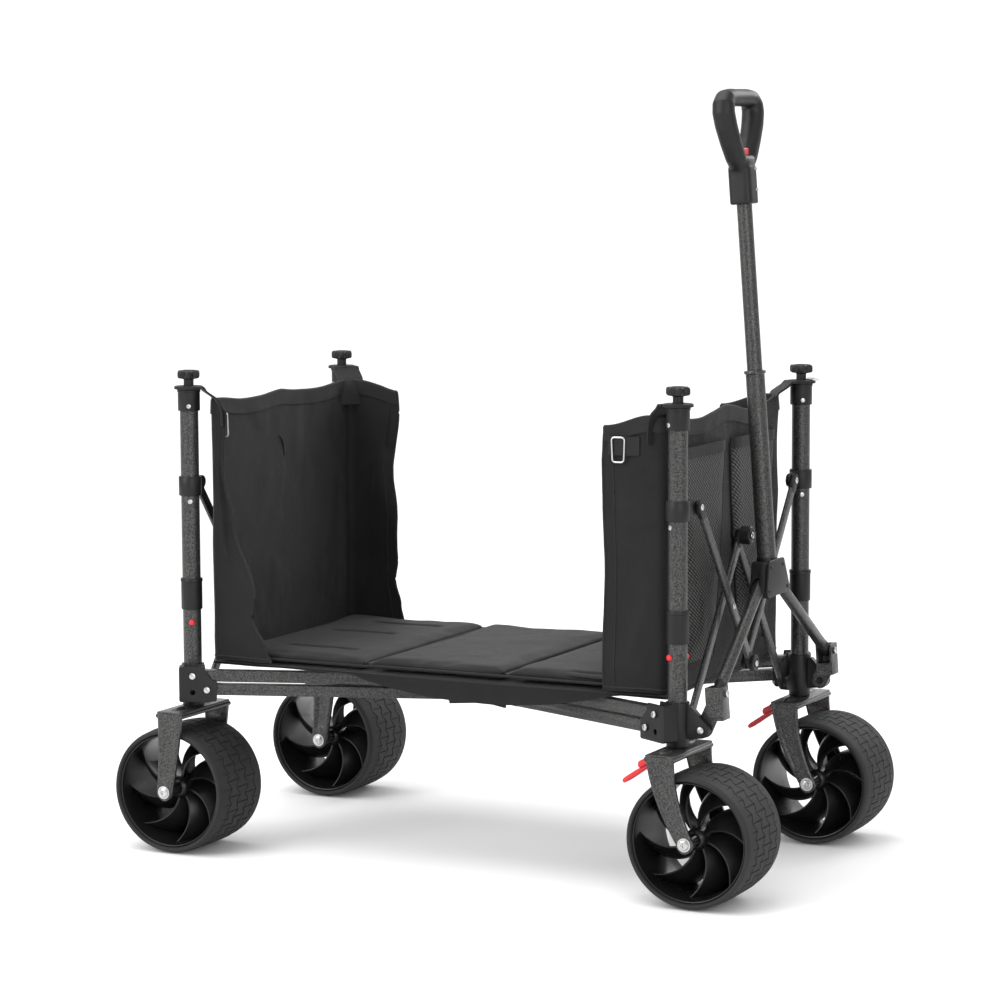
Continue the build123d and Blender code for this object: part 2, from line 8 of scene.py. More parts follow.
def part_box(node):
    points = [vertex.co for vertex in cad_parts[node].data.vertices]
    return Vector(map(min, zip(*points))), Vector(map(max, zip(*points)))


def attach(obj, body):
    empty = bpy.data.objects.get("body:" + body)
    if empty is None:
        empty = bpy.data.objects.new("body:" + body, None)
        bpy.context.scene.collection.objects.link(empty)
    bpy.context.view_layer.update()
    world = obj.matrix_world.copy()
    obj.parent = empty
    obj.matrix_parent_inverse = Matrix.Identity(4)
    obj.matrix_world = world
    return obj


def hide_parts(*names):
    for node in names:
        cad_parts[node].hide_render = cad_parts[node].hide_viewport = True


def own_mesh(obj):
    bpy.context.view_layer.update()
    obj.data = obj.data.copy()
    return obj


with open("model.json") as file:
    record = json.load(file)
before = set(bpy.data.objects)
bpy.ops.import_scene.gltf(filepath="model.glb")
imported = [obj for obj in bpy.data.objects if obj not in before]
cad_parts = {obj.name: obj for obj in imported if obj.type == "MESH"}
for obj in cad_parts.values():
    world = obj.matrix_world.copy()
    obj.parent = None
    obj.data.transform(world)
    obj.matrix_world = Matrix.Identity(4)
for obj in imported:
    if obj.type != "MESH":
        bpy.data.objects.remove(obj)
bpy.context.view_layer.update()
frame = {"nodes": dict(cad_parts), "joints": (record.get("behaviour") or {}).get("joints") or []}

mm = 0.001
corners = {"rear_right": (-1, -1), "rear_left": (-1, 1), "front_right": (1, -1), "front_left": (1, 1)}


def middle(node):
    low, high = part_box(node)
    return (low + high) / 2


# places read from the frame
postAt = {c: Vector((middle("post_" + c).x, middle("post_" + c).y, 0)) for c in corners}
hubX = (postAt["rear_right"].x + postAt["front_right"].x) / 2
halfBase = (postAt["front_right"].x - postAt["rear_right"].x) / 2
halfTrack = postAt["rear_left"].y
alongX = halfBase / math.hypot(halfBase, halfTrack)
alongY = halfTrack / math.hypot(halfBase, halfTrack)


def inward(c):
    sx, sy = corners[c]
    return Vector((-sx * alongX, -sy * alongY, 0))


def outboard(c):
    sx, sy = corners[c]
    return Vector((-sx * alongY, sy * alongX, 0))


# small mesh helpers
def newObject(name, mesh):
    obj = bpy.data.objects.new(name, mesh)
    bpy.context.scene.collection.objects.link(obj)
    return obj


def meshFrom(name, verts, faces, smooth=True):
    mesh = bpy.data.meshes.new(name)
    mesh.from_pydata([tuple(v) for v in verts], [], faces)
    mesh.validate()
    mesh.update()
    for p in mesh.polygons:
        p.use_smooth = smooth
    return newObject(name, mesh)


def fromBmesh(name, bm, smooth=True):
    mesh = bpy.data.meshes.new(name)
    bm.to_mesh(mesh)
    bm.free()
    for p in mesh.polygons:
        p.use_smooth = smooth
    return newObject(name, mesh)


def bakeModifiers(obj):  # The object's evaluated mesh takes the place of its own, and its modifiers go
    dg = bpy.context.evaluated_depsgraph_get()
    mesh = bpy.data.meshes.new_from_object(obj.evaluated_get(dg), depsgraph=dg)
    obj.modifiers.clear()
    obj.data = mesh
    return obj


def bevelEdges(obj, width, segments=2, angle=35):
    mod = obj.modifiers.new("bevel", "BEVEL")
    mod.width = width
    mod.segments = segments
    mod.limit_method = "ANGLE"
    mod.angle_limit = math.radians(angle)
    mod.use_clamp_overlap = True
    mod.harden_normals = False
    bakeModifiers(obj)
    smoothByAngle(obj)
    return obj


def smoothByAngle(obj, angle=40):
    bm = bmesh.new()
    bm.from_mesh(obj.data)
    for e in bm.edges:
        e.smooth = not (len(e.link_faces) == 2 and e.calc_face_angle(0) > math.radians(angle))
    for f in bm.faces:
        f.smooth = True
    bm.to_mesh(obj.data)
    bm.free()
    return obj


def joinObjects(name, objs):
    bm = bmesh.new()
    for o in objs:
        part = bmesh.new()
        part.from_mesh(o.data)
        part.transform(o.matrix_world)
        scratch = bpy.data.meshes.new("scratch")
        part.to_mesh(scratch)
        part.free()
        bm.from_mesh(scratch)
        bpy.data.meshes.remove(scratch)
    result = fromBmesh(name, bm)
    for o in objs:
        bpy.data.objects.remove(o)
    return smoothByAngle(result)


def roundedCopy(node, name, width, segments=2):  # A bevelled copy of a CAD node
    bm = bmesh.new()
    bm.from_mesh(frame["nodes"][node].data)
    bmesh.ops.remove_doubles(bm, verts=bm.verts, dist=2e-6)
    bmesh.ops.dissolve_limit(bm, angle_limit=math.radians(1.2), verts=bm.verts, edges=bm.edges)
    obj = fromBmesh(name, bm)
    if width > 0:
        bevelEdges(obj, width, segments)
    else:
        smoothByAngle(obj)
    return obj


def lathe(name, profile, at, axis=(0, 0, 1), steps=40, closed=False):
    # profile is (radius, height) pairs; height runs along axis from at
    a = Vector(axis).normalized()
    turn = a.to_track_quat("Z", "Y").to_matrix()
    verts, faces = [], []
    n = len(profile)
    for i in range(steps):
        t = 2 * math.pi * i / steps
        for r, h in profile:
            verts.append(Vector(at) + turn @ Vector((r * math.cos(t), r * math.sin(t), h)))
    for i in range(steps):
        j = (i + 1) % steps
        for k in range(n - 1 + int(closed)):
            l = (k + 1) % n
            faces.append((i * n + k, j * n + k, j * n + l, i * n + l))
    bm = bmesh.new()
    made = [bm.verts.new(v) for v in verts]
    for f in faces:
        bm.faces.new([made[q] for q in f])
    bmesh.ops.remove_doubles(bm, verts=bm.verts, dist=1e-6)
    if not closed:
        bmesh.ops.holes_fill(bm, edges=[e for e in bm.edges if e.is_boundary], sides=0)
    bmesh.ops.recalc_face_normals(bm, faces=bm.faces)
    return smoothByAngle(fromBmesh(name, bm), 35)


def roundedBox(name, low, high, radius, segments=3):
    bm = bmesh.new()
    bmesh.ops.create_cube(bm, size=1)
    low, high = Vector(low), Vector(high)
    for v in bm.verts:
        v.co = Vector([(low[i] + high[i]) / 2 + v.co[i] * (high[i] - low[i]) for i in range(3)])
    bmesh.ops.bevel(bm, geom=bm.edges[:], offset=radius, segments=segments, profile=0.5, affect="EDGES")
    return smoothByAngle(fromBmesh(name, bm), 50)


def prism(name, outline, origin, xDir, yDir, low, high, bevel=0.0, segments=2):
    # A flat outline in the plane of xDir and yDir, given depth along their cross product
    x, y = Vector(xDir).normalized(), Vector(yDir).normalized()
    z = x.cross(y)
    bm = bmesh.new()
    base = [bm.verts.new(Vector(origin) + x * p[0] + y * p[1] + z * low) for p in outline]
    face = bm.faces.new(base)
    out = bmesh.ops.extrude_face_region(bm, geom=[face])
    for v in out["geom"]:
        if isinstance(v, bmesh.types.BMVert):
            v.co += z * (high - low)
    bmesh.ops.recalc_face_normals(bm, faces=bm.faces)
    obj = fromBmesh(name, bm)
    if bevel > 0:
        bevelEdges(obj, bevel, segments)
    else:
        smoothByAngle(obj)
    return obj


def arcPoints(cx, cy, r, start, end, steps):  # Points of an arc, in degrees
    return [(cx + r * math.cos(math.radians(start + (end - start) * i / steps)),
             cy + r * math.sin(math.radians(start + (end - start) * i / steps))) for i in range(steps + 1)]


def capsule(half, radius, steps=10):  # Outline of a bar with round ends, its middle at the origin
    return arcPoints(half, 0, radius, -90, 90, steps) + arcPoints(-half, 0, radius, 90, 270, steps)


def tubeAlong(name, points, radius, steps=10, closed=False, flatten=1.0, up=(0, 0, 1)):
    # A round or oval tube that follows points; flatten squeezes it along its second direction
    pts = [Vector(p) for p in points]
    n = len(pts)
    verts, faces = [], []
    ref = Vector(up)
    for i, p in enumerate(pts):
        a = pts[(i - 1) % n] if closed or i > 0 else p
        b = pts[(i + 1) % n] if closed or i < n - 1 else p
        d = (b - a).normalized()
        side = d.cross(ref)
        if side.length < 1e-4:
            side = d.cross(Vector((1, 0, 0)))
        side.normalize()
        other = side.cross(d).normalized()
        r = radius[i] if isinstance(radius, (list, tuple)) else radius
        for k in range(steps):
            t = 2 * math.pi * k / steps
            verts.append(p + side * r * math.cos(t) + other * r * flatten * math.sin(t))
    for i in range(n if closed else n - 1):
        j = (i + 1) % n
        for k in range(steps):
            l = (k + 1) % steps
            faces.append((i * steps + k, i * steps + l, j * steps + l, j * steps + k))
    if not closed:
        faces.append(tuple(reversed(range(steps))))
        faces.append(tuple(range((n - 1) * steps, n * steps)))
    obj = meshFrom(name, verts, faces)
    bm = bmesh.new()
    bm.from_mesh(obj.data)
    bmesh.ops.recalc_face_normals(bm, faces=bm.faces)
    bm.to_mesh(obj.data)
    bm.free()
    return smoothByAngle(obj, 50)


def facedOut(obj, angle=45):  # Normals outwards, edges smooth below angle
    bm = bmesh.new()
    bm.from_mesh(obj.data)
    bmesh.ops.recalc_face_normals(bm, faces=bm.faces)
    bm.to_mesh(obj.data)
    bm.free()
    return smoothByAngle(obj, angle)


def place(obj, body, material, replaced=()):
    obj.data.materials.clear()
    obj.data.materials.append(material)
    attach(obj, body)
    if replaced:
        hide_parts(*replaced)
    return obj


# shader groups
def newGroup(name, inputs, outputs):
    group = bpy.data.node_groups.new(name, "ShaderNodeTree")
    for title, kind, value in inputs:
        socket = group.interface.new_socket(title, in_out="INPUT", socket_type=kind)
        if value is not None:
            socket.default_value = value
    for title, kind in outputs:
        group.interface.new_socket(title, in_out="OUTPUT", socket_type=kind)
    return group, group.nodes.new("NodeGroupInput"), group.nodes.new("NodeGroupOutput")


def addNode(tree, kind, **settings):
    node = tree.nodes.new(kind)
    for key, value in settings.items():
        setattr(node, key, value)
    return node


def mathNode(tree, operation, a, b=None, clamp=False):
    node = addNode(tree, "ShaderNodeMath", operation=operation, use_clamp=clamp)
    for i, v in enumerate((a, b)):
        if v is None:
            continue
        if hasattr(v, "links") or isinstance(v, bpy.types.NodeSocket):
            tree.links.new(v, node.inputs[i])
        else:
            node.inputs[i].default_value = v
    return node.outputs[0]


def rampNode(tree, source, stops):
    node = addNode(tree, "ShaderNodeValToRGB")
    ramp = node.color_ramp
    while len(ramp.elements) < len(stops):
        ramp.elements.new(0.5)
    for element, (position, color) in zip(ramp.elements, stops):
        element.position = position
        element.color = (*color, 1) if len(color) == 3 else color
    tree.links.new(source, node.inputs[0])
    return node.outputs[0]


def noiseNode(tree, vector, scale, detail=3.0, roughness=0.5):
    node = addNode(tree, "ShaderNodeTexNoise")
    node.inputs["Scale"].default_value = scale
    node.inputs["Detail"].default_value = detail
    node.inputs["Roughness"].default_value = roughness
    tree.links.new(vector, node.inputs["Vector"])
    return node.outputs["Fac"]


def makeSpeckleGroup():
    group, gin, gout = newGroup(
        "hammeredPaint",
        [("Vector", "NodeSocketVector", None), ("Grain", "NodeSocketFloat", 420.0)],
        [("Speckle", "NodeSocketFloat"), ("Height", "NodeSocketFloat")],
    )
    grain = addNode(group, "ShaderNodeTexNoise")
    grain.inputs["Detail"].default_value = 2.5
    grain.inputs["Roughness"].default_value = 0.62
    group.links.new(gin.outputs["Vector"], grain.inputs["Vector"])
    group.links.new(gin.outputs["Grain"], grain.inputs["Scale"])
    cells = addNode(group, "ShaderNodeTexVoronoi", feature="SMOOTH_F1")
    group.links.new(gin.outputs["Vector"], cells.inputs["Vector"])
    group.links.new(gin.outputs["Grain"], cells.inputs["Scale"])
    mixed = mathNode(group, "MULTIPLY", cells.outputs["Distance"], 0.55)
    summed = mathNode(group, "ADD", grain.outputs["Fac"], mixed)
    sharp = mathNode(group, "SUBTRACT", summed, 0.62)
    speckle = mathNode(group, "MULTIPLY", sharp, 4.2, clamp=True)
    group.links.new(speckle, gout.inputs["Speckle"])
    group.links.new(summed, gout.inputs["Height"])
    return group


def makeWeaveGroup():  # Plain weave from the piece's own UV map in metres, with uneven yarns and soft creases; its colour value mixes the weave's own tone with painted shade that darkens the crease hollows
    group, gin, gout = newGroup(
        "wovenCloth",
        [("Vector", "NodeSocketVector", None), ("Threads", "NodeSocketFloat", 1250.0),
         ("Creases", "NodeSocketFloat", 1.0)],
        [("WeaveAndPaintedFoldShade", "NodeSocketFloat"), ("Height", "NodeSocketFloat")],
    )
    split = addNode(group, "ShaderNodeSeparateXYZ")
    group.links.new(gin.outputs["Vector"], split.inputs[0])
    waves = []
    for axis in ("X", "Y"):
        scaled = mathNode(group, "MULTIPLY", split.outputs[axis], gin.outputs["Threads"])
        turned = mathNode(group, "MULTIPLY", scaled, 2 * math.pi)
        waves.append(mathNode(group, "SINE", turned))
    crossed = mathNode(group, "MULTIPLY", waves[0], waves[1])
    yarns = noiseNode(group, gin.outputs["Vector"], 900.0, 2.0)
    creases = noiseNode(group, gin.outputs["Vector"], 22.0, 4.0, 0.6)
    woven = mathNode(group, "MULTIPLY", crossed, 0.25)
    woven = mathNode(group, "ADD", woven, yarns)
    big = mathNode(group, "MULTIPLY", creases, gin.outputs["Creases"])
    height = mathNode(group, "ADD", woven, mathNode(group, "MULTIPLY", big, 3.0))
    # colour value: half the weave's own tone, half the crease noise, so the crease hollows get painted shade and
    # their ridges painted light
    toneAndFoldShade = mathNode(group, "ADD", mathNode(group, "MULTIPLY", woven, 0.5), mathNode(group, "MULTIPLY",
            creases, 0.5))
    group.links.new(toneAndFoldShade, gout.inputs["WeaveAndPaintedFoldShade"])
    group.links.new(height, gout.inputs["Height"])
    return group


def makeGrainGroup():  # Fine moulded grain with a faint cloudy variation, for plastics and foam
    group, gin, gout = newGroup(
        "mouldedGrain",
        [("Vector", "NodeSocketVector", None), ("Grain", "NodeSocketFloat", 900.0)],
        [("Cloud", "NodeSocketFloat"), ("Height", "NodeSocketFloat")],
    )
    fine = addNode(group, "ShaderNodeTexNoise")
    fine.inputs["Detail"].default_value = 2.0
    group.links.new(gin.outputs["Vector"], fine.inputs["Vector"])
    group.links.new(gin.outputs["Grain"], fine.inputs["Scale"])
    cloud = noiseNode(group, gin.outputs["Vector"], 24.0, 3.0)
    group.links.new(cloud, gout.inputs["Cloud"])
    group.links.new(fine.outputs["Fac"], gout.inputs["Height"])
    return group


hammeredPaint = makeSpeckleGroup()
wovenCloth = makeWeaveGroup()
mouldedGrain = makeGrainGroup()


def newMaterial(name, group, values, coordinates="Object"):
    mat = bpy.data.materials.new(name)
    mat.use_nodes = True
    tree = mat.node_tree
    shader = tree.nodes["Principled BSDF"]
    coords = addNode(tree, "ShaderNodeTexCoord")
    placed = addNode(tree, "ShaderNodeGroup")
    placed.node_tree = group
    tree.links.new(coords.outputs[coordinates], placed.inputs["Vector"])
    for key, value in values.items():
        placed.inputs[key].default_value = value
    return mat, tree, shader, placed


def addBump(tree, shader, height, strength, distance):
    bump = addNode(tree, "ShaderNodeBump")
    bump.inputs["Strength"].default_value = strength
    bump.inputs["Distance"].default_value = distance
    tree.links.new(height, bump.inputs["Height"])
    tree.links.new(bump.outputs["Normal"], shader.inputs["Normal"])


def hammeredMaterial(name, dark, light, rough):
    mat, tree, shader, g = newMaterial(name, hammeredPaint, {"Grain": 560.0})
    color = rampNode(tree, g.outputs["Speckle"], [(0.0, dark), (1.0, light)])
    tree.links.new(color, shader.inputs["Base Color"])
    shader.inputs["Metallic"].default_value = 0.35
    roughness = rampNode(tree, g.outputs["Speckle"], [(0.0, (rough,) * 3), (1.0, (rough - 0.08,) * 3)])
    tree.links.new(roughness, shader.inputs["Roughness"])
    shader.inputs["Coat Weight"].default_value = 0.25
    shader.inputs["Coat Roughness"].default_value = 0.3
    addBump(tree, shader, g.outputs["Height"], 0.45, 0.0006)
    return mat


def plasticMaterial(name, dark, light, rough, grain=900.0, bump=0.12, coat=0.0):
    mat, tree, shader, g = newMaterial(name, mouldedGrain, {"Grain": grain})
    color = rampNode(tree, g.outputs["Cloud"], [(0.3, dark), (0.7, light)])
    tree.links.new(color, shader.inputs["Base Color"])
    roughness = rampNode(tree, g.outputs["Cloud"], [(0.25, (rough - 0.05,) * 3), (0.75, (rough + 0.06,) * 3)])
    tree.links.new(roughness, shader.inputs["Roughness"])
    if coat:
        shader.inputs["Coat Weight"].default_value = coat
        shader.inputs["Coat Roughness"].default_value = 0.15
    shader.inputs["Specular IOR Level"].default_value = 0.32
    addBump(tree, shader, g.outputs["Height"], bump, 0.0003)
    return mat


def metalMaterial(name, color, rough):
    mat, tree, shader, g = newMaterial(name, mouldedGrain, {"Grain": 1500.0})
    tone = rampNode(tree, g.outputs["Cloud"], [(0.2, tuple(0.8 * v for v in color)), (0.8, color)])
    tree.links.new(tone, shader.inputs["Base Color"])
    shader.inputs["Metallic"].default_value = 1.0
    roughness = rampNode(tree, g.outputs["Height"], [(0.3, (rough - 0.08,) * 3), (0.7, (rough + 0.08,) * 3)])
    tree.links.new(roughness, shader.inputs["Roughness"])
    addBump(tree, shader, g.outputs["Height"], 0.05, 0.0002)
    return mat


def clothMaterial(name, dark, light, rough, threads=900.0, bump=0.5, creases=1.0, sheen=0.25):
    mat, tree, shader, g = newMaterial(name, wovenCloth, {"Threads": threads, "Creases": creases}, "UV")
    # base colour from the weave's tone and the painted shade of the creases
    color = rampNode(tree, g.outputs["WeaveAndPaintedFoldShade"], [(0.25, dark), (0.75, light)])
    tree.links.new(color, shader.inputs["Base Color"])
    roughness = rampNode(tree, g.outputs["WeaveAndPaintedFoldShade"], [(0.2, (rough + 0.05,) * 3), (0.8, (rough - 0.06,) * 3)])
    tree.links.new(roughness, shader.inputs["Roughness"])
    shader.inputs["Sheen Weight"].default_value = sheen * 0.3
    shader.inputs["Sheen Roughness"].default_value = 0.4
    shader.inputs["Specular IOR Level"].default_value = 0.28
    addBump(tree, shader, g.outputs["Height"], bump, 0.0005)
    return mat


def netMaterial(name, hole, cord, pitch):
    mat = bpy.data.materials.new(name)
    mat.use_nodes = True
    tree = mat.node_tree
    shader = tree.nodes["Principled BSDF"]
    coords = addNode(tree, "ShaderNodeTexCoord")
    split = addNode(tree, "ShaderNodeSeparateXYZ")
    tree.links.new(coords.outputs["UV"], split.inputs[0])
    rows = mathNode(tree, "SINE", mathNode(tree, "MULTIPLY", split.outputs["Y"], pitch * 2 * math.pi))
    rungs = mathNode(tree, "SINE", mathNode(tree, "MULTIPLY", split.outputs["X"], pitch * 1.1 * math.pi))
    height = mathNode(tree, "ADD", rows, mathNode(tree, "MULTIPLY", rungs, 0.45))
    color = rampNode(tree, height, [(0.1, hole), (0.75, cord)])
    tree.links.new(color, shader.inputs["Base Color"])
    shader.inputs["Roughness"].default_value = 0.55
    shader.inputs["Specular IOR Level"].default_value = 0.3
    addBump(tree, shader, height, 0.7, 0.0007)
    return mat


hammered = hammeredMaterial("hammeredSteel", (0.004, 0.004, 0.004), (0.055, 0.055, 0.053), 0.40)
blackPlastic = plasticMaterial("blackPlastic", (0.003, 0.003, 0.0033), (0.006, 0.006, 0.0065), 0.46)
glossPlastic = plasticMaterial("rimPlastic", (0.005, 0.005, 0.0055), (0.008, 0.008, 0.0085), 0.3, 700.0, 0.08)
tyreFoam = plasticMaterial("tyreFoam", (0.013, 0.013, 0.0135), (0.020, 0.020, 0.0205), 0.72, 800.0, 0.3)
redPlastic = plasticMaterial("redPlastic", (0.52, 0.010, 0.018), (0.66, 0.018, 0.026), 0.34, 700.0, 0.08, 0.2)
zinc = metalMaterial("zincPlate", (0.58, 0.58, 0.58), 0.3)
bagCloth = clothMaterial("bagCloth", (0.0018, 0.0018, 0.002), (0.006, 0.006, 0.0064), 0.72, 900.0, 0.7, 1.3)
matCloth = clothMaterial("matCloth", (0.0025, 0.0025, 0.003), (0.007, 0.007, 0.0075), 0.7, 800.0, 0.7, 1.5)
meshCloth = netMaterial("meshCloth", (0.0015, 0.0015, 0.0015), (0.085, 0.085, 0.083), 230.0)
webbing = clothMaterial("webbing", (0.003, 0.003, 0.003), (0.009, 0.009, 0.0095), 0.62, 420.0, 0.9, 0.4, 0.15)
print("materials ready")


# repeats round an axis, by Geometry Nodes
def buildRingTree():
    tree = bpy.data.node_groups.new("ringOfPieces", "GeometryNodeTree")
    face = tree.interface
    face.new_socket("Geometry", in_out="OUTPUT", socket_type="NodeSocketGeometry")
    for title, kind in (("Piece", "NodeSocketObject"), ("Count", "NodeSocketInt"),
                        ("Turn", "NodeSocketVector"), ("Start", "NodeSocketVector"),
                        ("Centre", "NodeSocketVector"), ("Material", "NodeSocketMaterial")):
        face.new_socket(title, in_out="INPUT", socket_type=kind)
    gin, gout = tree.nodes.new("NodeGroupInput"), tree.nodes.new("NodeGroupOutput")
    points = tree.nodes.new("GeometryNodePoints")
    info = tree.nodes.new("GeometryNodeObjectInfo")
    instances = tree.nodes.new("GeometryNodeInstanceOnPoints")
    index = tree.nodes.new("GeometryNodeInputIndex")
    scale = tree.nodes.new("ShaderNodeVectorMath")
    scale.operation = "SCALE"
    add = tree.nodes.new("ShaderNodeVectorMath")
    turn = tree.nodes.new("FunctionNodeEulerToRotation")
    realize = tree.nodes.new("GeometryNodeRealizeInstances")
    shift = tree.nodes.new("GeometryNodeTransform")
    paint = tree.nodes.new("GeometryNodeSetMaterial")
    link = tree.links.new
    link(gin.outputs["Count"], points.inputs["Count"])
    link(gin.outputs["Piece"], info.inputs["Object"])
    link(points.outputs[0], instances.inputs["Points"])
    link(info.outputs["Geometry"], instances.inputs["Instance"])
    link(gin.outputs["Turn"], scale.inputs[0])
    link(index.outputs[0], scale.inputs["Scale"])
    link(scale.outputs[0], add.inputs[0])
    link(gin.outputs["Start"], add.inputs[1])
    link(add.outputs[0], turn.inputs[0])
    link(turn.outputs[0], instances.inputs["Rotation"])
    link(instances.outputs[0], realize.inputs[0])
    link(realize.outputs[0], shift.inputs["Geometry"])
    link(gin.outputs["Centre"], shift.inputs["Translation"])
    link(shift.outputs[0], paint.inputs["Geometry"])
    link(gin.outputs["Material"], paint.inputs["Material"])
    link(paint.outputs[0], gout.inputs[0])
    return tree


ringTree = buildRingTree()


def ringOf(name, piece, count, centre, material, axis="Y", start=0.0):
    # count copies of piece turned evenly round an axis through centre
    obj = meshFrom(name, [(0, 0, 0)], [])
    mod = obj.modifiers.new("ring", "NODES")
    mod.node_group = ringTree
    ids = {item.name: item.identifier for item in ringTree.interface.items_tree if item.in_out == "INPUT"}
    unit = Vector((1, 0, 0)) if axis == "X" else Vector((0, 1, 0)) if axis == "Y" else Vector((0, 0, 1))
    mod[ids["Piece"]] = piece
    mod[ids["Count"]] = count
    mod[ids["Turn"]] = unit * (2 * math.pi / count)
    mod[ids["Start"]] = unit * start
    mod[ids["Centre"]] = Vector(centre)
    mod[ids["Material"]] = material
    return bakeModifiers(obj)


# screws, scattered by Geometry Nodes on given points
def buildScrewHead():  # Pan head with a cross recess, its seat at the origin and its top along +Z
    r, h = 1.0, 0.45
    bm = bmesh.new()
    rings = [(r, 0.0), (r, 0.18), (0.9 * r, 0.34), (0.62 * r, h)]
    steps = 24
    rows = []
    for radius, height in rings:
        rows.append([bm.verts.new((radius * math.cos(2 * math.pi * i / steps),
                                   radius * math.sin(2 * math.pi * i / steps),
                                   height)) for i in range(steps)])
    for a, b in zip(rows, rows[1:]):
        for i in range(steps):
            j = (i + 1) % steps
            bm.faces.new((a[i], a[j], b[j], b[i]))
    arm, half, deep = 0.42 * r, 0.11 * r, 0.24
    cross = [(half, half), (half, arm), (-half, arm), (-half, half), (-arm, half), (-arm, -half),
             (-half, -half), (-half, -arm), (half, -arm), (half, -half), (arm, -half), (arm, half)]
    top = [bm.verts.new((x, y, h + 0.02)) for x, y in cross]
    low = [bm.verts.new((x * 0.8, y * 0.8, h - deep)) for x, y in cross]
    for i in range(12):
        j = (i + 1) % 12
        bm.faces.new((top[i], top[j], low[j], low[i]))
    bm.faces.new(low)
    rim = rows[-1]
    # join the head's top ring with the cross outline
    bmesh.ops.bridge_loops(bm, edges=[e for e in bm.edges if (e.verts[0] in rim and e.verts[1] in rim)
                                      or (e.verts[0] in top and e.verts[1] in top)])
    bm.faces.new(list(reversed(rows[0])))
    bmesh.ops.recalc_face_normals(bm, faces=bm.faces)
    head = fromBmesh("screwHead", bm)
    return smoothByAngle(head, 30)


def buildScatterTree():
    tree = bpy.data.node_groups.new("screwsOnPoints", "GeometryNodeTree")
    face = tree.interface
    face.new_socket("Geometry", in_out="INPUT", socket_type="NodeSocketGeometry")
    face.new_socket("Geometry", in_out="OUTPUT", socket_type="NodeSocketGeometry")
    face.new_socket("Piece", in_out="INPUT", socket_type="NodeSocketObject")
    face.new_socket("Material", in_out="INPUT", socket_type="NodeSocketMaterial")
    gin, gout = tree.nodes.new("NodeGroupInput"), tree.nodes.new("NodeGroupOutput")
    info = tree.nodes.new("GeometryNodeObjectInfo")
    normal = tree.nodes.new("GeometryNodeInputNamedAttribute")
    normal.data_type = "FLOAT_VECTOR"
    normal.inputs["Name"].default_value = "facing"
    size = tree.nodes.new("GeometryNodeInputNamedAttribute")
    size.data_type = "FLOAT"
    size.inputs["Name"].default_value = "size"
    align = tree.nodes.new("FunctionNodeAlignRotationToVector")
    align.axis = "Z"
    instances = tree.nodes.new("GeometryNodeInstanceOnPoints")
    realize = tree.nodes.new("GeometryNodeRealizeInstances")
    paint = tree.nodes.new("GeometryNodeSetMaterial")
    link = tree.links.new
    link(gin.outputs["Geometry"], instances.inputs["Points"])
    link(gin.outputs["Piece"], info.inputs["Object"])
    link(info.outputs["Geometry"], instances.inputs["Instance"])
    link(normal.outputs["Attribute"], align.inputs["Vector"])
    link(align.outputs[0], instances.inputs["Rotation"])
    link(size.outputs["Attribute"], instances.inputs["Scale"])
    link(instances.outputs[0], realize.inputs[0])
    link(realize.outputs[0], paint.inputs["Geometry"])
    link(gin.outputs["Material"], paint.inputs["Material"])
    link(paint.outputs[0], gout.inputs[0])
    return tree


scatterTree = buildScatterTree()
screwHead = buildScrewHead()
screwPlan = {}   # body: list of (point, direction, radius)


def screw(body, point, direction, radius):
    screwPlan.setdefault(body, []).append((Vector(point), Vector(direction).normalized(), radius))


def layScrews():
    ids = {item.name: item.identifier for item in scatterTree.interface.items_tree if item.in_out == "INPUT"}
    for body, plan in screwPlan.items():
        obj = meshFrom("screws_" + body, [p for p, d, r in plan], [])
        obj.data.attributes.new("facing", "FLOAT_VECTOR", "POINT")
        obj.data.attributes.new("size", "FLOAT", "POINT")
        facing, size = obj.data.attributes["facing"], obj.data.attributes["size"]
        for i, (p, d, r) in enumerate(plan):
            facing.data[i].vector = d
            size.data[i].value = r
        mod = obj.modifiers.new("screws", "NODES")
        mod.node_group = scatterTree
        mod[ids["Piece"]] = screwHead
        mod[ids["Material"]] = zinc
        bakeModifiers(obj)
        smoothByAngle(obj, 30)
        place(obj, body, zinc)


# wheels
tyreShape = dict(radius=90 * mm, grooveDepth=1.5 * mm, boreRadius=81 * mm, width=116 * mm, rows=5,
                 blocks=25, gap=1.5 * mm, zigzag=4.2 * mm, shoulder=6 * mm, columns=8)
rimShape = dict(radius=80.9 * mm, halfWidth=52 * mm, barrel=76.5 * mm, spokes=8, hub=15 * mm,
        hubEnd=60.5 * mm,
                sweep=0.62, twist=0.5, front=40 * mm, back=34 * mm, edge=1.5 * mm)


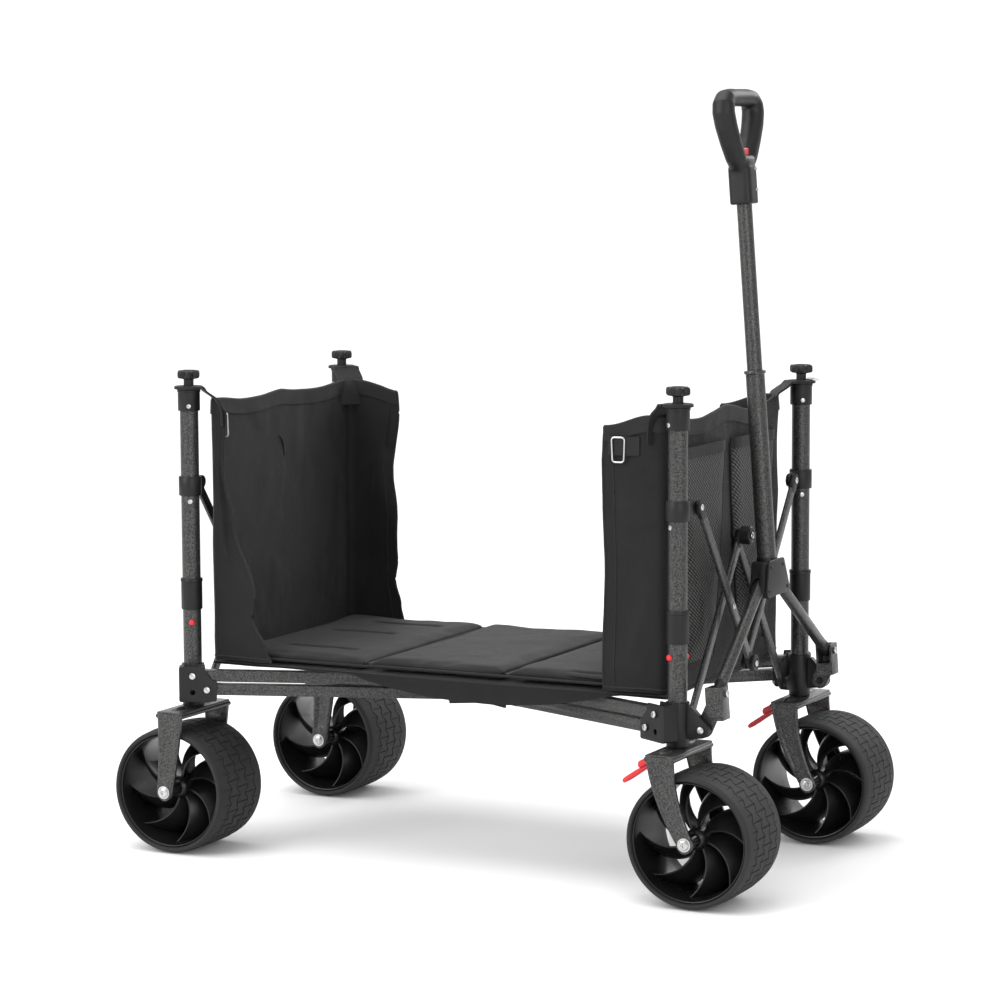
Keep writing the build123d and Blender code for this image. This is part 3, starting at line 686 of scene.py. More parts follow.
def buildTyreBlockSector(s):  # One pitch of tread blocks, on a wheel whose axle is the Y axis
    bm = bmesh.new()
    pitch = 2 * math.pi / s["blocks"]
    usable = s["width"] - 2 * s["shoulder"] * 0.55
    rowWidth = usable / s["rows"]
    base, top = s["radius"] - s["grooveDepth"], s["radius"]
    gapAngle = s["gap"] / s["radius"]

    def edgeShift(row, u):  # Sideways wander of the line between two rows, u from 0 to 1 along a pitch
        if row == 0 or row == s["rows"]:
            return 0.0
        return s["zigzag"] * (1 if row % 2 else -1) * (abs(2 * u - 1) * 2 - 1)

    cols = s["columns"]
    for row in range(s["rows"]):
        start = (row % 2) * 0.5
        verts = {}
        for i in range(cols + 1):
            u = start + i / cols
            trim = (1 if i == 0 else -1 if i == cols else 0)
            for side in (0, 1):
                y = -usable / 2 + (row + side) * rowWidth + edgeShift(row + side, u % 1.0)
                y += s["gap"] / 2 * (1 if side == 0 else -1)
                for level, r in (("low", base - 1.0 * mm), ("top", top)):
                    shrink = 0.3 * mm if level == "top" else 0.0
                    t = u * pitch + trim * (gapAngle / 2 + shrink / r)
                    yy = y + shrink * (1 if side == 0 else -1)
                    rr = r - 2.4 * mm * (abs(yy) / (usable / 2)) ** 4
                    verts[(i, side, level)] = bm.verts.new((rr * math.sin(t), yy, rr * math.cos(t)))
        for i in range(cols):
            bm.faces.new([verts[(i, 0, "top")], verts[(i + 1, 0, "top")], verts[(i + 1, 1, "top")],
                    verts[(i, 1, "top")]])
            bm.faces.new([verts[(i, 0, "low")], verts[(i, 1, "low")], verts[(i + 1, 1, "low")],
                    verts[(i + 1, 0, "low")]])
            for side in (0, 1):
                bm.faces.new([verts[(i, side, "low")], verts[(i + 1, side, "low")],
                              verts[(i + 1, side, "top")], verts[(i, side, "top")]])
        for i in (0, cols):
            bm.faces.new([verts[(i, 0, "low")], verts[(i, 1, "low")], verts[(i, 1, "top")], verts[(i, 0,
                    "top")]])
    bmesh.ops.recalc_face_normals(bm, faces=bm.faces)
    return smoothByAngle(fromBmesh("treadSector", bm), 30)


def buildTyreBody(s, centre):
    half, r = s["width"] / 2, s["radius"] - s["grooveDepth"]
    bore = s["boreRadius"]
    side = [(bore, half - 5 * mm), (bore + 0.6 * mm, half - 1.6 * mm), (bore + 1.6 * mm, half - 0.3 * mm),
            (bore + 2.6 * mm, half),
            (bore + 4.6 * mm, half - 0.2 * mm), (r - 2.0 * mm, half - 1.6 * mm), (r - 0.8 * mm,
            half - 4 * mm), (r - 0.2 * mm, half - 8 * mm)]
    outline = side + [(r + 0.2 * mm, 0)] + [(q, -w) for q, w in reversed(side)]
    return lathe("tyreBody", outline, centre, (0, 1, 0), 96, closed=True)


def buildSpoke(s):
    # One broad turbine blade on a rim whose axle is the Y axis, twisted from its front edge to its back
    # edge
    rows, depths = 14, 12
    inner, outer = s["hub"] * 0.85, s["barrel"] + 0.8 * mm
    layers = []
    for face in (-1, 1):
        layer = []
        for i in range(rows + 1):
            t = i / rows
            r = inner + (outer - inner) * t
            for k in range(depths + 1):
                q = k / depths
                dish = 0.62 + 0.38 * t ** 1.4
                y = (s["front"] - (s["front"] + s["back"]) * q) * dish
                thick = s["edge"] * (0.55 + 1.2 * math.sin(math.pi * q)) * (1.0 + 0.9 * (1 - t))
                turn = s["sweep"] * t ** 1.35 + s["twist"] * (q - 0.5 - 0.55 * math.sin(math.pi * q) * (1 - 0.4 * t))
                a = turn + face * thick / max(r, 14 * mm)
                layer.append((r * math.sin(a), y, r * math.cos(a)))
        layers.append(layer)
    n = depths + 1
    other = len(layers[0])
    faces = []
    for i in range(rows):
        for k in range(depths):
            faces.append((i * n + k, i * n + k + 1, (i + 1) * n + k + 1, (i + 1) * n + k))
            faces.append((other + i * n + k, other + (i + 1) * n + k, other + (i + 1) * n + k + 1,
                    other + i * n + k + 1))
    loop = list(range(n)) + [i * n + depths for i in range(1,
            rows + 1)] + [rows * n + k for k in range(depths - 1, -1, -1)]
    loop += [i * n for i in range(rows - 1, 0, -1)]
    for p, q in zip(loop, loop[1:] + loop[:1]):
        faces.append((p, q, q + other, p + other))
    return facedOut(meshFrom("spoke", layers[0] + layers[1], faces), 45)


def buildRimBarrel(s, centre):
    half, R, b = s["halfWidth"], s["radius"], s["barrel"]
    outline = [(R, half - 2 * mm), (R - 0.3 * mm, half), (R - 1.4 * mm, half + 0.9 * mm), (b + 1.6 * mm,
            half + 0.5 * mm), (b + 0.7 * mm, half - 3 * mm),
               (b, half * 0.5), (b - 0.8 * mm, 0)]
    outline += [(q, -w) for q, w in reversed(outline[:-1])]
    barrel = lathe("rimBarrel", outline, centre, (0, 1, 0), 120, closed=True)
    h, end = s["hub"], s["front"] * 0.66
    hubLine = [(4.2 * mm, s["hubEnd"]), (7 * mm, s["hubEnd"]), (8.4 * mm, s["hubEnd"] - 1.5 * mm),
            (9.2 * mm, end + 6 * mm), (h - 1 * mm, end + 3 * mm), (h, end), (h + 0.6 * mm, 0)]
    hubLine += [(q, -w) for q, w in reversed(hubLine[:-1])]
    hub = lathe("rimHub", hubLine, centre, (0, 1, 0), 40, closed=True)
    return barrel, hub


def buildWheels():
    sector = buildTyreBlockSector(tyreShape)
    spoke = buildSpoke(rimShape)
    for c in corners:
        centre = middle("rim_" + c)
        tread = ringOf("tread", sector, tyreShape["blocks"], centre, tyreFoam, "Y", 0.1 * len(c))
        tyre = joinObjects("foamTyre_" + c, [buildTyreBody(tyreShape, centre), tread])
        place(tyre, "wheel_" + c, tyreFoam, ("tyre_" + c,))
        spokes = ringOf("spokes", spoke, rimShape["spokes"], centre, glossPlastic, "Y", 0.07 * len(c))
        barrel, hub = buildRimBarrel(rimShape, centre)
        rim = joinObjects("dishedRim_" + c, [barrel, hub, spokes])
        place(rim, "wheel_" + c, glossPlastic, ("rim_" + c,))
    for o in (sector, spoke):
        bpy.data.objects.remove(o)
    print("wheels done")


buildWheels()


# forks and brake levers
forkShape = dict(inner=62 * mm, plate=4 * mm, topZ=205.7 * mm, axleZ=90 * mm, topHalf=20.3 * mm,
        endRadius=12.6 * mm,
                 rib=1.5 * mm, crownShift=2 * mm)


def armOutline(s, shift):  # Spine and half width of a fork arm from its top to the axle
    rows = []
    count = 34
    topZ, endZ = s["topZ"] - 1 * mm, s["axleZ"]
    for i in range(count + 1):
        t = i / count
        z = topZ + (endZ - topZ) * t
        x = shift * (0.12 * t + 0.88 * t ** 1.9) + (s["crownShift"] * (1 - t) if shift > 0 else 0)
        half = s["topHalf"] + (s["endRadius"] - s["topHalf"]) * (t ** 0.85)
        rows.append((x, z, half))
    return rows


def buildForkArm(name, c, side, shift):
    s = forkShape
    at = postAt[c]
    rows = armOutline(s, shift)
    # a round end below the axle
    end = []
    for a in (15, 35, 55, 72, 84):
        q = math.radians(a)
        end.append((shift, s["axleZ"] - s["endRadius"] * math.sin(q), s["endRadius"] * math.cos(q)))
    rows = rows + end
    cols = 16
    outY = side * (s["inner"] + s["plate"])
    inY = side * s["inner"]
    verts, faces = [], []
    total = len(rows)
    for layer, y in ((0, outY), (1, inY)):
        for i, (x, z, half) in enumerate(rows):
            t = i / (total - 1)
            for k in range(cols + 1):
                u = -1 + 2 * k / cols
                du = u * half
                px = at.x + x + du
                lift = 0.0
                # a pressed panel with a raised border, between the crown and the axle
                inPanel = max(0.0, min(1.0, (0.62 - abs(u)) / 0.16)) * max(0.0, min(1.0,
                        (t - 0.16) / 0.03)) * max(0.0, min(1.0, (0.74 - t) / 0.05))
                border = max(0.0, 1 - abs(abs(u) - 0.78) / 0.2) * (1 if t < 0.8 else max(0,
                        1 - (t - 0.8) / 0.1))
                lift = border * 1.0 * mm - inPanel * s["rib"]
                edge = max(0.0, (abs(u) - 0.9) / 0.1) ** 2
                lift -= edge * 1.2 * mm
                if layer == 1:
                    lift = min(0.0, lift) * 0.9 + (edge * 0.2 * mm)
                verts.append((px, at.y + y + side * lift, z))
    n = cols + 1
    for layer in (0, 1):
        base = layer * total * n
        for i in range(total - 1):
            for k in range(cols):
                faces.append((base + i * n + k, base + (i + 1) * n + k, base + (i + 1) * n + k + 1,
                        base + i * n + k + 1))
    # the plate's edge
    loop = [k for k in range(n)] + [i * n + cols for i in range(1,
            total)] + [(total - 1) * n + k for k in range(cols - 1, -1, -1)] \
        + [i * n for i in range(total - 2, 0, -1)]
    other = total * n
    for a, b in zip(loop, loop[1:] + loop[:1]):
        faces.append((a, b, b + other, a + other))
    obj = meshFrom(name, verts, faces)
    bm = bmesh.new()
    bm.from_mesh(obj.data)
    bmesh.ops.recalc_face_normals(bm, faces=bm.faces)
    bm.to_mesh(obj.data)
    bm.free()
    return smoothByAngle(obj, 50)


def buildForks():
    s = forkShape
    for c, (sx, sy) in corners.items():
        at = postAt[c]
        shift = middle("rim_" + c).x - at.x
        full = s["inner"] + s["plate"]
        parts = [buildForkArm("arm", c, side, shift) for side in (-1, 1)]
        mid = at.x + (s["crownShift"] if sx > 0 else 0)
        crown = roundedBox("crown", (mid - s["topHalf"], at.y - full, s["topZ"] - 5 * mm),
                           (mid + s["topHalf"], at.y + full, s["topZ"] - 0.4 * mm), 2 * mm, 3)
        parts.append(crown)
        # pressed ridges along the crown, either side of the swivel
        for side in (-1, 1):
            ridge = [(at.x, at.y + side * (22 + 34 * q / 8) * mm, s["topZ"] - 4.4 * mm) for q in range(9)]
            radius = [r * mm for r in (3.0, 6.2, 7.4, 7.8, 7.8, 7.8, 7.4, 6.2, 3.0)]
            parts.append(tubeAlong("ridge", ridge, radius, 16))
        for edge in (-1, 1):
            lip = [(mid + edge * (s["topHalf"] - 1.6 * mm), at.y + (-full + 2 * full * q / 4),
                    s["topZ"] - 6.5 * mm) for q in range(5)]
            parts.append(tubeAlong("lip", lip, 3.2 * mm, 10))
        stem = lathe("stem", [(0.0, 0), (14 * mm, 0), (14 * mm, 2.5 * mm), (9 * mm, 4 * mm), (6 * mm,
                5 * mm), (6 * mm, 24 * mm), (0.0, 24 * mm)],
                     (at.x, at.y, s["topZ"] - 4 * mm), (0, 0, 1), 32)
        parts.append(stem)
        fork = joinObjects("fork_steel_" + c, parts)
        body = ("caster_" if sx > 0 else "corner_") + c
        place(fork, body, hammered, ("fork_" + c,))
        spacerEnd = s["inner"]
        axle = []
        for side in (-1, 1):
            axle.append(lathe("spacer", [(0, 0), (7 * mm, 0), (7 * mm, 3 * mm), (0, 3 * mm)],
                              (at.x + shift,
                              at.y + side * (spacerEnd - 3 * mm) if side > 0 else at.y - spacerEnd,
                              s["axleZ"]), (0, 1, 0), 24))
            axle.append(lathe("washer", [(0, 0), (9.2 * mm, 0), (9.2 * mm, 1.2 * mm), (0, 1.2 * mm)],
                              (at.x + shift, at.y + side * (full + (0 if side > 0 else 1.2 * mm)),
                              s["axleZ"]), (0, 1, 0), 28))
            screw(body, (at.x + shift, at.y + side * (full + 1.2 * mm), s["axleZ"]), (0, side, 0), 7.2 * mm)
        axles = joinObjects("axle_bolt_" + c, axle)
        place(axles, body, zinc)
        if sx > 0:
            lever = buildLever(c)
            place(lever, "brake_" + c, redPlastic, ("brake_lever_" + c,))
    print("forks done")


def buildLever(c):  # Red foot lever behind the fork's crown, with a short upper and a long lower paddle
    at = postAt[c]
    px, pz = at.x - 16 * mm, 191 * mm
    low = [(-2, -6.0), (-16, -10), (-30, -20), (-47, -32), (-57, -38.5), (-60, -37.5), (-60.5, -34), (-57,
            -30.5), (-40, -19), (-24, -9), (-8, 2), (2, 2)]
    high = [(-2, 6), (-12, 5.2), (-26, -1.5), (-35, -6.5), (-37, -10), (-36, -15), (-33, -16), (-22, -9),
            (-8, -2), (2, 0)]
    parts = []
    for line, half in ((low, 9 * mm), (high, 12 * mm)):
        outline = [(px + x * mm, pz + z * mm) for x, z in line]
        parts.append(prism("paddle", outline, (0, at.y, 0), (1, 0, 0), (0, 0, 1), -half, half, 1.2 * mm, 3))
    parts.append(prism("rib", [(px - 4 * mm, pz + 5 * mm), (px - 22 * mm, pz - 2.5 * mm), (px - 20 * mm,
            pz - 7 * mm), (px - 4 * mm, pz - 4 * mm)],
                       (0, at.y, 0), (1, 0, 0), (0, 0, 1), -6 * mm, 6 * mm, 0.8 * mm, 2))
    parts.append(lathe("barrel", [(0, 0), (6.2 * mm, 0), (6.2 * mm, 46 * mm), (0, 46 * mm)], (px,
            at.y - 23 * mm, pz), (0, 1, 0), 28))
    return joinObjects("brake_paddle_" + c, parts)


buildForks()


# posts, sleeves, caps, collars, knobs
postShape = dict(radius=13 * mm, bottom=232 * mm, top=640 * mm, sleeve=(344 * mm, 388 * mm),
        cap=(626 * mm, 656 * mm),
                 button=326 * mm, stop=498 * mm, collar=(506 * mm, 533 * mm), knob=(656.3 * mm, 683 * mm))


def buildPosts():
    s = postShape
    r = s["radius"]
    for c, (sx, sy) in corners.items():
        at = postAt[c]
        body = "corner_" + c
        n = outboard(c)
        tube = lathe("post_tube_" + c, [(0, s["bottom"]), (r, s["bottom"]), (r, s["top"]), (0, s["top"])],
                at, (0, 0, 1), 48)
        place(tube, body, hammered, ("post_" + c,))
        low, high = s["sleeve"]
        sleeve = lathe("post_sleeve_" + c, [(r + 0.1 * mm, low), (r + 1.6 * mm, low), (r + 2 * mm,
                low + 0.6 * mm), (r + 2 * mm, high - 5 * mm),
                       (r + 2.6 * mm, high - 4.4 * mm), (r + 2.6 * mm, high - 0.6 * mm), (r + 2.2 * mm,
                       high), (r + 0.1 * mm, high)], at, (0, 0, 1), 48, True)
        place(sleeve, body, blackPlastic)
        low, high = s["cap"]
        cap = lathe("post_cap_" + c, [(r + 0.1 * mm, low), (r + 2.2 * mm, low), (r + 2.6 * mm,
                low + 0.8 * mm), (r + 2.6 * mm, high - 4 * mm),
                    (r + 3.4 * mm, high - 3.4 * mm), (r + 3.4 * mm, high - 0.8 * mm), (r + 2.6 * mm,
                    high), (5 * mm, high), (5 * mm, high - 2 * mm),
                    (r + 0.1 * mm, high - 3 * mm)], at, (0, 0, 1), 48, True)
        place(cap, body, blackPlastic)
        dots = []
        for side in (-1, 1):
            dots.append(lathe("dot", [(0, r - 1 * mm), (4 * mm, r - 1 * mm), (4 * mm, r + 2.2 * mm),
                    (3.2 * mm, r + 3.4 * mm), (1.4 * mm, r + 4 * mm), (0, r + 4 * mm)],
                              (at.x, at.y, s["button"]), n * side, 24))
            screw(body, Vector((at.x, at.y, s["stop"])) + n * side * (r - 0.3 * mm), n * side, 3.4 * mm)
            screw(body, Vector((at.x, at.y, (low + s["top"]) / 2)) + n * side * (r + 2.2 * mm), n * side,
                    3.2 * mm)
        buttons = joinObjects("snap_buttons_" + c, dots)
        place(buttons, body, redPlastic)
        buildCollar(c, at)
        buildKnob(c, at)
    print("posts done")


def buildCollar(c, at):
    s = postShape
    r = s["radius"]
    low, high = s["collar"]
    sx, sy = corners[c]
    ring = lathe("ring", [(r + 0.06 * mm, low), (r + 2.4 * mm, low), (r + 3 * mm, low + 0.8 * mm),
            (r + 3 * mm, high - 0.8 * mm), (r + 2.4 * mm, high), (r + 0.06 * mm, high)],
                 at, (0, 0, 1), 48, True)
    lowBox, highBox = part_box("sliding_collar_" + c)
    linkX = middle("%s_link_%s_high" % ("front" if sx > 0 else "rear", "right" if sy < 0 else "left")).x
    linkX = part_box("%s_link_%s_high" % ("front" if sx > 0 else "rear", "right" if sy < 0 else "left"))
    face = (linkX[0].x if sx > 0 else linkX[1].x)
    side = 1 if sx > 0 else -1
    outline = arcPoints(0, 0, 9.4 * mm, 90, 270, 10) + [(26 * mm, -11 * mm), (26 * mm, 11 * mm)]
    lug = prism("lug", outline, (face - side * 0.6 * mm, at.y - sy * 40 * mm, 521 * mm), (0, sy, 0), (0,
            0, 1),
                0, 6.4 * mm * (-side * sy), 1.0 * mm, 2)
    collar = joinObjects("collar_" + c, [ring, lug])
    place(collar, "collar_" + c, blackPlastic, ("sliding_collar_" + c,))


def buildKnob(c, at):
    s = postShape
    low, high = s["knob"]
    steps = 90
    lobes = 6
    rows = [(0.0, low), (0.44, low), (0.44, high - 13 * mm), (0.62, high - 12 * mm), (0.93,
            high - 11 * mm), (1.0, high - 9 * mm), (1.0, high - 3.5 * mm), (0.96, high - 1.4 * mm),
            (0.86, high - 0.4 * mm), (0.6, high), (0.55, high - 1.2 * mm), (0.3, high - 1.2 * mm), (0.0,
            high - 1.2 * mm)]
    bm = bmesh.new()
    rings = []
    for share, z in rows:
        ring = []
        for i in range(steps):
            a = 2 * math.pi * i / steps
            wave = 0.5 + 0.5 * math.cos(lobes * a)
            lobe = 17.0 * mm - 4.2 * mm * (1 - wave ** 0.55) if share > 0.61 else 16 * mm
            r = max(share * lobe, 0.01 * mm)
            ring.append(bm.verts.new((at.x + r * math.cos(a), at.y + r * math.sin(a), z)))
        rings.append(ring)
    for a, b in zip(rings, rings[1:]):
        for i in range(steps):
            j = (i + 1) % steps
            bm.faces.new((a[i], a[j], b[j], b[i]))
    bmesh.ops.remove_doubles(bm, verts=bm.verts, dist=0.02 * mm)
    bmesh.ops.recalc_face_normals(bm, faces=bm.faces)
    knob = smoothByAngle(fromBmesh("lobed_knob_" + c, bm), 45)
    place(knob, "knob_" + c, blackPlastic, ("knob_" + c,))


buildPosts()


# brackets, bars, hub and end links
def buildFrame():
    for c, (sx, sy) in corners.items():
        bracket = roundedCopy("corner_bracket_" + c, "bracket_" + c, 1.1 * mm, 3)
        place(bracket, "corner_" + c, blackPlastic, ("corner_bracket_" + c,))
        n, e = outboard(c), inward(c)
        face = 36.5 * mm
        at = postAt[c]
        for s, z in ((0, 253 * mm), (20 * mm, 233 * mm)):
            screw("corner_" + c, Vector((at.x, at.y, z)) + e * s + n * (face + 2.4 * mm), n, 4.6 * mm)
        if sx > 0:
            screw("corner_" + c, (at.x + 35 * mm, sy * 226 * mm, 231 * mm), (0, sy, 0), 4.8 * mm)
        for level in ("upper", "lower"):
            bar = roundedCopy(level + "_bar_" + c, level + "_floor_bar_" + c, 2.2 * mm, 3)
            place(bar, level + "_bar_" + c, hammered, (level + "_bar_" + c,))
        for s, z in ((60 * mm, 240 * mm), (40 * mm, 220 * mm)):
            centre = Vector((hubX, 0, z)) - e * s
            screw("hub", centre + n * (face + 1.2 * mm), n, 4.6 * mm)
    hub = roundedCopy("centre_hub", "hub_block", 0.9 * mm, 2)
    place(hub, "hub", blackPlastic, ("centre_hub",))
    print("frame done")


buildFrame()

linkShape = dict(width=14 * mm, thick=6 * mm, reach=180 * mm, collarZ=521 * mm, lowZ=228 * mm,
        centreHigh=463 * mm, centreLow=286 * mm,
                 crossing=0.3766)


def buildLinks():
    s = linkShape
    for end, sx in (("rear", -1), ("front", 1)):
        for hand, sy in (("right", -1), ("left", 1)):
            for level in ("high", "low"):
                node = "%s_link_%s_%s" % (end, hand, level)
                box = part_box(node)
                inner = box[0].x if sx > 0 else box[1].x
                x = inner + sx * s["thick"] / 2
                outer = Vector((x, sy * s["reach"], s["collarZ"] if level == "high" else s["lowZ"]))
                centre = Vector((x, 0, s["centreLow"] if level == "high" else s["centreHigh"]))
                run = centre - outer
                half = run.length / 2
                body = node
                bar = prism(node + "_bar", capsule(half, s["width"] / 2, 8), (outer + centre) / 2, run,
                        run.cross(Vector((1, 0, 0))),
                            -s["thick"] / 2, s["thick"] / 2, 1.8 * mm, 3)
                place(bar, body, hammered, (node,))
                out = Vector((sx, 0, 0))
                outFace = x + sx * s["thick"] / 2
                screw(body, Vector((outFace + sx * 0.2 * mm, outer.y, outer.z)), out, 4.4 * mm)
                crossing = centre - run * s["crossing"]
                caps = []
                if hand == "right" and level == "high":
                    caps.append(boss(Vector((outFace - sx * 0.5 * mm, centre.y, centre.z)), out, 12 * mm,
                            6 * mm))
                    screw(body, Vector((outFace + sx * 5.3 * mm, centre.y, centre.z)), out, 4.4 * mm)
                    screw(body, Vector((outFace - sx * 0.2 * mm, crossing.y, crossing.z)), out, 4.2 * mm)
                if hand == "right" and level == "low":
                    caps.append(boss(Vector((outFace - sx * 0.5 * mm, centre.y, centre.z)), out,
                            12.6 * mm, 15 * mm))
                    screw(body, Vector((outFace + sx * 14.3 * mm, centre.y, centre.z)), out, 4.6 * mm)
                if hand == "left" and level == "high":
                    caps.append(boss(Vector((outFace - sx * 0.5 * mm, crossing.y, crossing.z)), out,
                            8.2 * mm, 8 * mm))
                    screw(body, Vector((outFace + sx * 7.2 * mm, crossing.y, crossing.z)), out, 4.2 * mm)
                # plastic end shoes round the bar's two ends
                for spot, reach in ((outer, 1), (centre, -1)):
                    d = run.normalized() * reach
                    shoe = prism("shoe", capsule(7 * mm, s["width"] / 2 + 0.9 * mm, 8),
                            spot + d * 5.5 * mm, run, run.cross(Vector((1, 0, 0))),
                                 -s["thick"] / 2 - 0.45 * mm, s["thick"] / 2 + 0.45 * mm, 1.0 * mm, 2)
                    caps.append(shoe)
                fittings = joinObjects(node + "_fittings", caps)
                place(fittings, body, blackPlastic)
    print("links done")


def boss(at, out, radius, height):
    return lathe("boss", [(0, 0), (radius, 0), (radius, height - 1.6 * mm), (radius - 1.4 * mm,
            height - 0.2 * mm), (radius * 0.62, height),
                          (radius * 0.55, height - 0.8 * mm), (0, height - 0.8 * mm)], at, out, 32)


buildLinks()


# pull handle
def jointNamed(name):
    return next(j for j in frame["joints"] if j["name"] == name)


upDir = Vector(jointNamed("handle_telescope")["axis"]).normalized()
outDir = Vector((upDir.z, 0, -upDir.x))
wideDir = Vector((0, 1, 0))
headAt = {"right": Vector(jointNamed("pole_right_pivot")["pos_m"]),
        "left": Vector(jointNamed("strut_left_pivot")["pos_m"])}
footAt = {"right": Vector(jointNamed("strut_right_pivot")["pos_m"])}
footAt["left"] = Vector((footAt["right"].x, -footAt["right"].y, footAt["right"].z))
headUp = 175.7 * mm
handleBase = (headAt["right"] + headAt["left"]) / 2 - upDir * headUp
handleShape = dict(outer=13 * mm, inner=10.5 * mm, socketUp=186 * mm, outerTop=460 * mm,
        innerLow=415 * mm, neckLow=686 * mm, neckTop=736 * mm, strut=8 * mm, half=15 * mm, voxel=1.6 * mm)


def onHandle(across, up, out=0.0):
    return handleBase + wideDir * across + upDir * up + outDir * out


def cutBy(obj, cutters):
    for cutter in cutters:
        mod = obj.modifiers.new("cut", "BOOLEAN")
        mod.operation = "DIFFERENCE"
        mod.solver = "EXACT"
        mod.object = cutter
    bakeModifiers(obj)
    for cutter in cutters:
        bpy.data.objects.remove(cutter)
    return smoothByAngle(obj, 35)


def roundedOutline(points, radius, steps=5):  # A polygon with its corners rounded
    result = []
    n = len(points)
    for i in range(n):
        p = Vector(points[i])
        a, b = (Vector(points[i - 1]) - p).normalized(), (Vector(points[(i + 1) % n]) - p).normalized()
        half = a.angle(b) / 2
        reach = radius / math.tan(half)
        centre = p + (a + b).normalized() * (radius / math.sin(half))
        start, end = p + a * reach - centre, p + b * reach - centre
        turn = start.angle_signed(end)
        for k in range(steps + 1):
            q = -turn * k / steps
            v = Vector((start.x * math.cos(q) - start.y * math.sin(q),
                    start.x * math.sin(q) + start.y * math.cos(q)))
            result.append(tuple(centre + v))
    return result


def buildYoke():
    s = handleShape
    outline = roundedOutline([(-44 * mm, 152 * mm), (44 * mm, 152 * mm), (27 * mm, 201 * mm), (-27 * mm,
            201 * mm)], 6 * mm)
    body = [(p * 0.955, 176 * mm + (q - 176 * mm) * 0.96) for p, q in outline]
    housing = prism("housing", body, handleBase, wideDir, upDir, -12.2 * mm, s["half"] * 0.8, 1.2 * mm, 3)
    arch = [(-9 * mm, 120 * mm), (9 * mm, 120 * mm)] + arcPoints(0, 170 * mm, 9 * mm, 0, 180, 12)
    sideCut = prism("sideCut", arch, handleBase, outDir, upDir, -60 * mm, 60 * mm)
    cavity = prism("cavity", [(-30 * mm, 120 * mm), (30 * mm, 120 * mm), (30 * mm, 184.6 * mm), (-30 * mm,
            184.6 * mm)], handleBase, wideDir, upDir, -8.8 * mm, 8.8 * mm)
    bore = lathe("bore", [(0, 190 * mm), (12.6 * mm, 190 * mm), (12.6 * mm, 210 * mm), (0, 210 * mm)],
            handleBase, upDir, 40)
    cutBy(housing, [sideCut, cavity, bore])
    plate = prism("plate", outline, handleBase, wideDir, upDir, s["half"] * 0.78, s["half"], 1.0 * mm, 3)
    parts = [housing, plate]
    for across, up in ((-33, 160), (33, 160), (-21, 192), (21, 192)):
        parts.append(lathe("rivet", [(0, 0), (3.1 * mm, 0), (2.8 * mm, 0.7 * mm), (1.6 * mm, 1.4 * mm),
                (0, 1.6 * mm)],
                           onHandle(across * mm, up * mm, s["half"] - 0.1 * mm), outDir, 20))
    for side in (-1, 1):
        parts.append(prism("flank", [(p * 1.0, q) for p, q in [(side * 30 * mm, 199 * mm),
                (side * 41.5 * mm, 158 * mm), (side * 44.5 * mm, 158 * mm), (side * 33 * mm,
                199 * mm)][::side]],
                           handleBase, wideDir, upDir, -2.5 * mm + s["half"] * 0.72 - 6 * mm,
                           s["half"] * 0.72, 0.8 * mm, 2))
    collar = lathe("collar", [(s["outer"] + 0.05 * mm, 196 * mm), (14.2 * mm, 196 * mm), (14.2 * mm,
            203 * mm), (13.6 * mm, 204 * mm), (s["outer"] + 0.05 * mm, 204 * mm)],
                   handleBase, upDir, 40, True)
    parts.append(collar)
    yoke = joinObjects("yoke_housing", parts)
    place(yoke, "pole", blackPlastic)
    r, top = s["outer"], s["outerTop"]
    tube = lathe("outer", [(r - 1.6 * mm, s["socketUp"]), (r, s["socketUp"]), (r, top - 5 * mm),
            (r + 1.0 * mm, top - 4.6 * mm), (r + 2.0 * mm, top - 3.6 * mm), (r + 2.0 * mm, top - 1 * mm),
                 (r + 1.2 * mm, top), (s["inner"] + 0.3 * mm, top), (s["inner"] + 0.3 * mm,
                 s["socketUp"] + 10 * mm)], handleBase, upDir, 56, True)
    button = lathe("latch", [(0, 0), (2.6 * mm, 0), (2.2 * mm, 0.8 * mm), (0, 1.1 * mm)],
            onHandle(-7 * mm, top - 17 * mm, 10.8 * mm), outDir - wideDir * 0.62, 16)
    outer = joinObjects("handle_outer_tube", [tube, button])
    place(outer, "pole", hammered, ("handle_yoke",))


def buildStruts():
    s = handleShape
    for hand, side in (("right", -1), ("left", 1)):
        foot, head = footAt[hand], headAt[hand]
        run = (head - foot).normalized()
        length = (head - foot).length
        r = s["strut"]
        profile = [(0, 12 * mm), (r - 0.6 * mm, 12 * mm), (r, 13 * mm), (r, length - 2 * mm),
                (r - 1.5 * mm, length + 3 * mm), (r * 0.5, length + 6.4 * mm), (0, length + 7 * mm)]
        tube = lathe("strut_tube_" + hand, profile, foot, run, 36)
        place(tube, "strut_" + hand, hammered, ("handle_strut_" + hand,))
        end = lathe("end", [(0, -7.6 * mm), (5 * mm, -7 * mm), (7.6 * mm, -3 * mm), (8.3 * mm, 2 * mm),
                (8.5 * mm, 13 * mm), (8.6 * mm, 20 * mm), (r + 0.05 * mm, 21 * mm), (0, 21 * mm)], foot,
                run, 32)
        place(joinObjects("strut_end_" + hand, [end]), "strut_" + hand, blackPlastic)
        clevis = roundedCopy("handle_clevis_" + hand, "clevis_bracket_" + hand, 1.2 * mm, 3)
        place(clevis, "clevis_" + hand, hammered, ("handle_clevis_" + hand,))
        screw("clevis_" + hand, foot + outDir * 14.1 * mm, outDir, 4.8 * mm)


